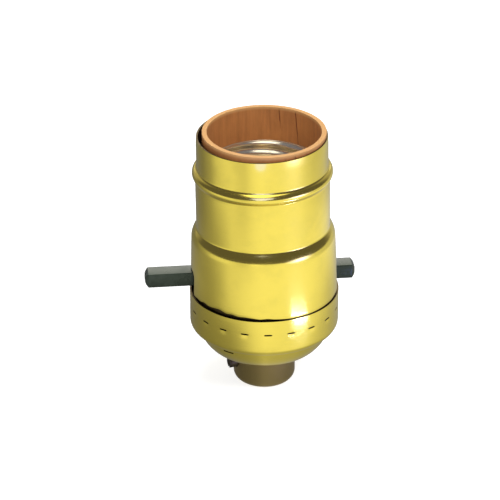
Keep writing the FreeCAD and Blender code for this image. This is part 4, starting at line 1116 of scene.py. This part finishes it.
class HOLDER_OT_stage(bpy.types.Operator):
    """Lays the floor, hangs the studio's walls and lamps and sets the camera"""

    bl_idname = "holder.stage"
    bl_label = "Stage"

    def execute(self, context):
        scene = context.scene
        scene.view_settings.view_transform = "Standard"
        self.lay_floor()
        self.hang_walls()
        hang_cards()
        self.light(scene)
        self.set_camera(scene)
        return {"FINISHED"}

    def lay_floor(self):
        """A pale floor that keeps shadows and adds a glow where the background shows."""
        mesh = bpy.data.meshes.new("floor")
        mesh.from_pydata([(-3, -3, 0), (3, -3, 0), (3, 3, 0), (-3, 3, 0)], [], [(0, 1, 2, 3)])
        material, tree = new_material("pale_floor")
        matt = add(tree, "BsdfDiffuse", (0, 100), Color=FLOOR_COLOUR)
        shown = background_rays(tree, (-900, -100))
        shine = ranged(tree, (-200, -100), shown, 0.0, FLOOR_GLOW)
        glow = add(tree, "Emission", (0, -100), Strength=shine)
        both = add(tree, "AddShader", (250, 0))
        feed(tree, both.inputs[0], (matt, "BSDF"))
        feed(tree, both.inputs[1], (glow, "Emission"))
        add(tree, "OutputMaterial", (500, 0), Surface=(both, "Shader"))
        mesh.materials.append(material)
        linked("floor", mesh)

    def hang_walls(self):
        """The shaded floor and dome that only gloss sees, on one grid of directions: the
        floor's rows are circles just above z = 0, and the dome's are circles of a sphere."""
        turn = np.radians(np.arange(0, 360, 3.0))
        reach = np.geomspace(0.006, DOME_RADIUS, 64)
        height = np.radians(np.linspace(0.5, 88, 60))
        out = np.concatenate([reach, DOME_RADIUS * np.cos(height)])[:, None]
        up = np.concatenate([0 * reach + 0.0004, DOME_RADIUS * np.sin(height)])[:, None]
        points = np.stack([out * np.sin(turn), -out * np.cos(turn), up + 0 * turn], -1)
        azimuth = (np.degrees(turn + VIEW_TURN) + 180) % 360 - 180
        shade = np.concatenate([
            floor_shade(azimuth, reach),
            dome_shade(*np.meshgrid(azimuth, np.degrees(height))),
        ])
        mesh = bpy.data.meshes.new("studio_walls")
        quads = faces_of(*points.shape[:2]).reshape(-1, 4)
        mesh.from_pydata(points.reshape(-1, 3), [], quads.tolist())
        rgba = np.concatenate([shade, np.ones((*shade.shape[:2], 1))], -1)
        colours = mesh.color_attributes.new("shade", "FLOAT_COLOR", "POINT")
        colours.data.foreach_set("color", rgba.ravel().astype(np.float32))
        mesh.shade_smooth()
        mesh.materials.append(glowing("studio_walls", attribute="shade"))
        for_gloss_only(linked("studio_walls", mesh))

    def light(self, scene):
        """A plain world that is white to the background's rays, and three soft lamps."""
        scene.world = bpy.data.worlds.new("studio")
        tree = emptied(scene.world)
        level = ranged(tree, (0, -150), background_rays(tree, (-700, 0)), WORLD_LEVEL, 1.0)
        back = add(tree, "Background", (250, 0), Color=(1, 1, 1), Strength=level)
        add(tree, "OutputWorld", (500, 0), Surface=(back, "Background"))
        for name, place, width, power in LAMPS:
            lamp = bpy.data.lights.new(name, "AREA")
            lamp.energy, lamp.size = power, width
            rig = linked(name, lamp)
            rig.location = place
            aim = Vector((0, 0, 0.035)) - Vector(place)
            rig.rotation_euler = aim.to_track_quat("-Z", "Y").to_euler()
            rig.visible_glossy = False

    def set_camera(self, scene):
        """A long lens, shifted so that the holder stands a little right of the middle and
        below it."""
        lens = bpy.data.cameras.new("camera")
        lens.sensor_width, lens.lens = 36.0, LENS
        lens.shift_x, lens.shift_y = SHIFT
        lens.clip_end = 20.0
        back = Vector((
            -np.sin(VIEW_TURN) * np.cos(VIEW_FALL),
            -np.cos(VIEW_TURN) * np.cos(VIEW_FALL),
            np.sin(VIEW_FALL),
        ))
        rig = linked("camera", lens)
        rig.location = Vector((0, 0, VIEW_LEVEL)) + back * VIEW_DISTANCE
        rig.rotation_euler = (-back).to_track_quat("-Z", "Y").to_euler()
        scene.camera = rig


class HOLDER_PT_panel(bpy.types.Panel):
    """Lists the lamp holder's pieces and their sizes"""

    bl_idname = "HOLDER_PT_panel"
    bl_label = "Lamp holder"
    bl_space_type = "VIEW_3D"
    bl_region_type = "UI"
    bl_category = "Lamp holder"

    def draw(self, context):
        for name, group in GROUPS.items():
            box = self.layout.box()
            for prop in group.__annotations__:
                box.prop(getattr(context.scene, name), prop)
        for operator in OPERATORS:
            self.layout.operator(operator.bl_idname)


OPERATORS = (
    HOLDER_OT_finishes,
    HOLDER_OT_shell,
    HOLDER_OT_cap,
    HOLDER_OT_liner,
    HOLDER_OT_screw_shell,
    HOLDER_OT_hub,
    HOLDER_OT_bar,
    HOLDER_OT_inner,
    HOLDER_OT_stage,
)


def register():
    for item in (*GROUPS.values(), *OPERATORS, HOLDER_PT_panel):
        bpy.utils.register_class(item)
    for name, group in GROUPS.items():
        setattr(bpy.types.Scene, name, PointerProperty(type=group))


def unregister():
    for name in GROUPS:
        delattr(bpy.types.Scene, name)
    for item in (HOLDER_PT_panel, *OPERATORS[::-1], *list(GROUPS.values())[::-1]):
        bpy.utils.unregister_class(item)


def main():
    register()
    for operator in OPERATORS:
        group, name = operator.bl_idname.split(".")
        getattr(getattr(bpy.ops, group), name)()


if __name__ == "__main__":
    main()
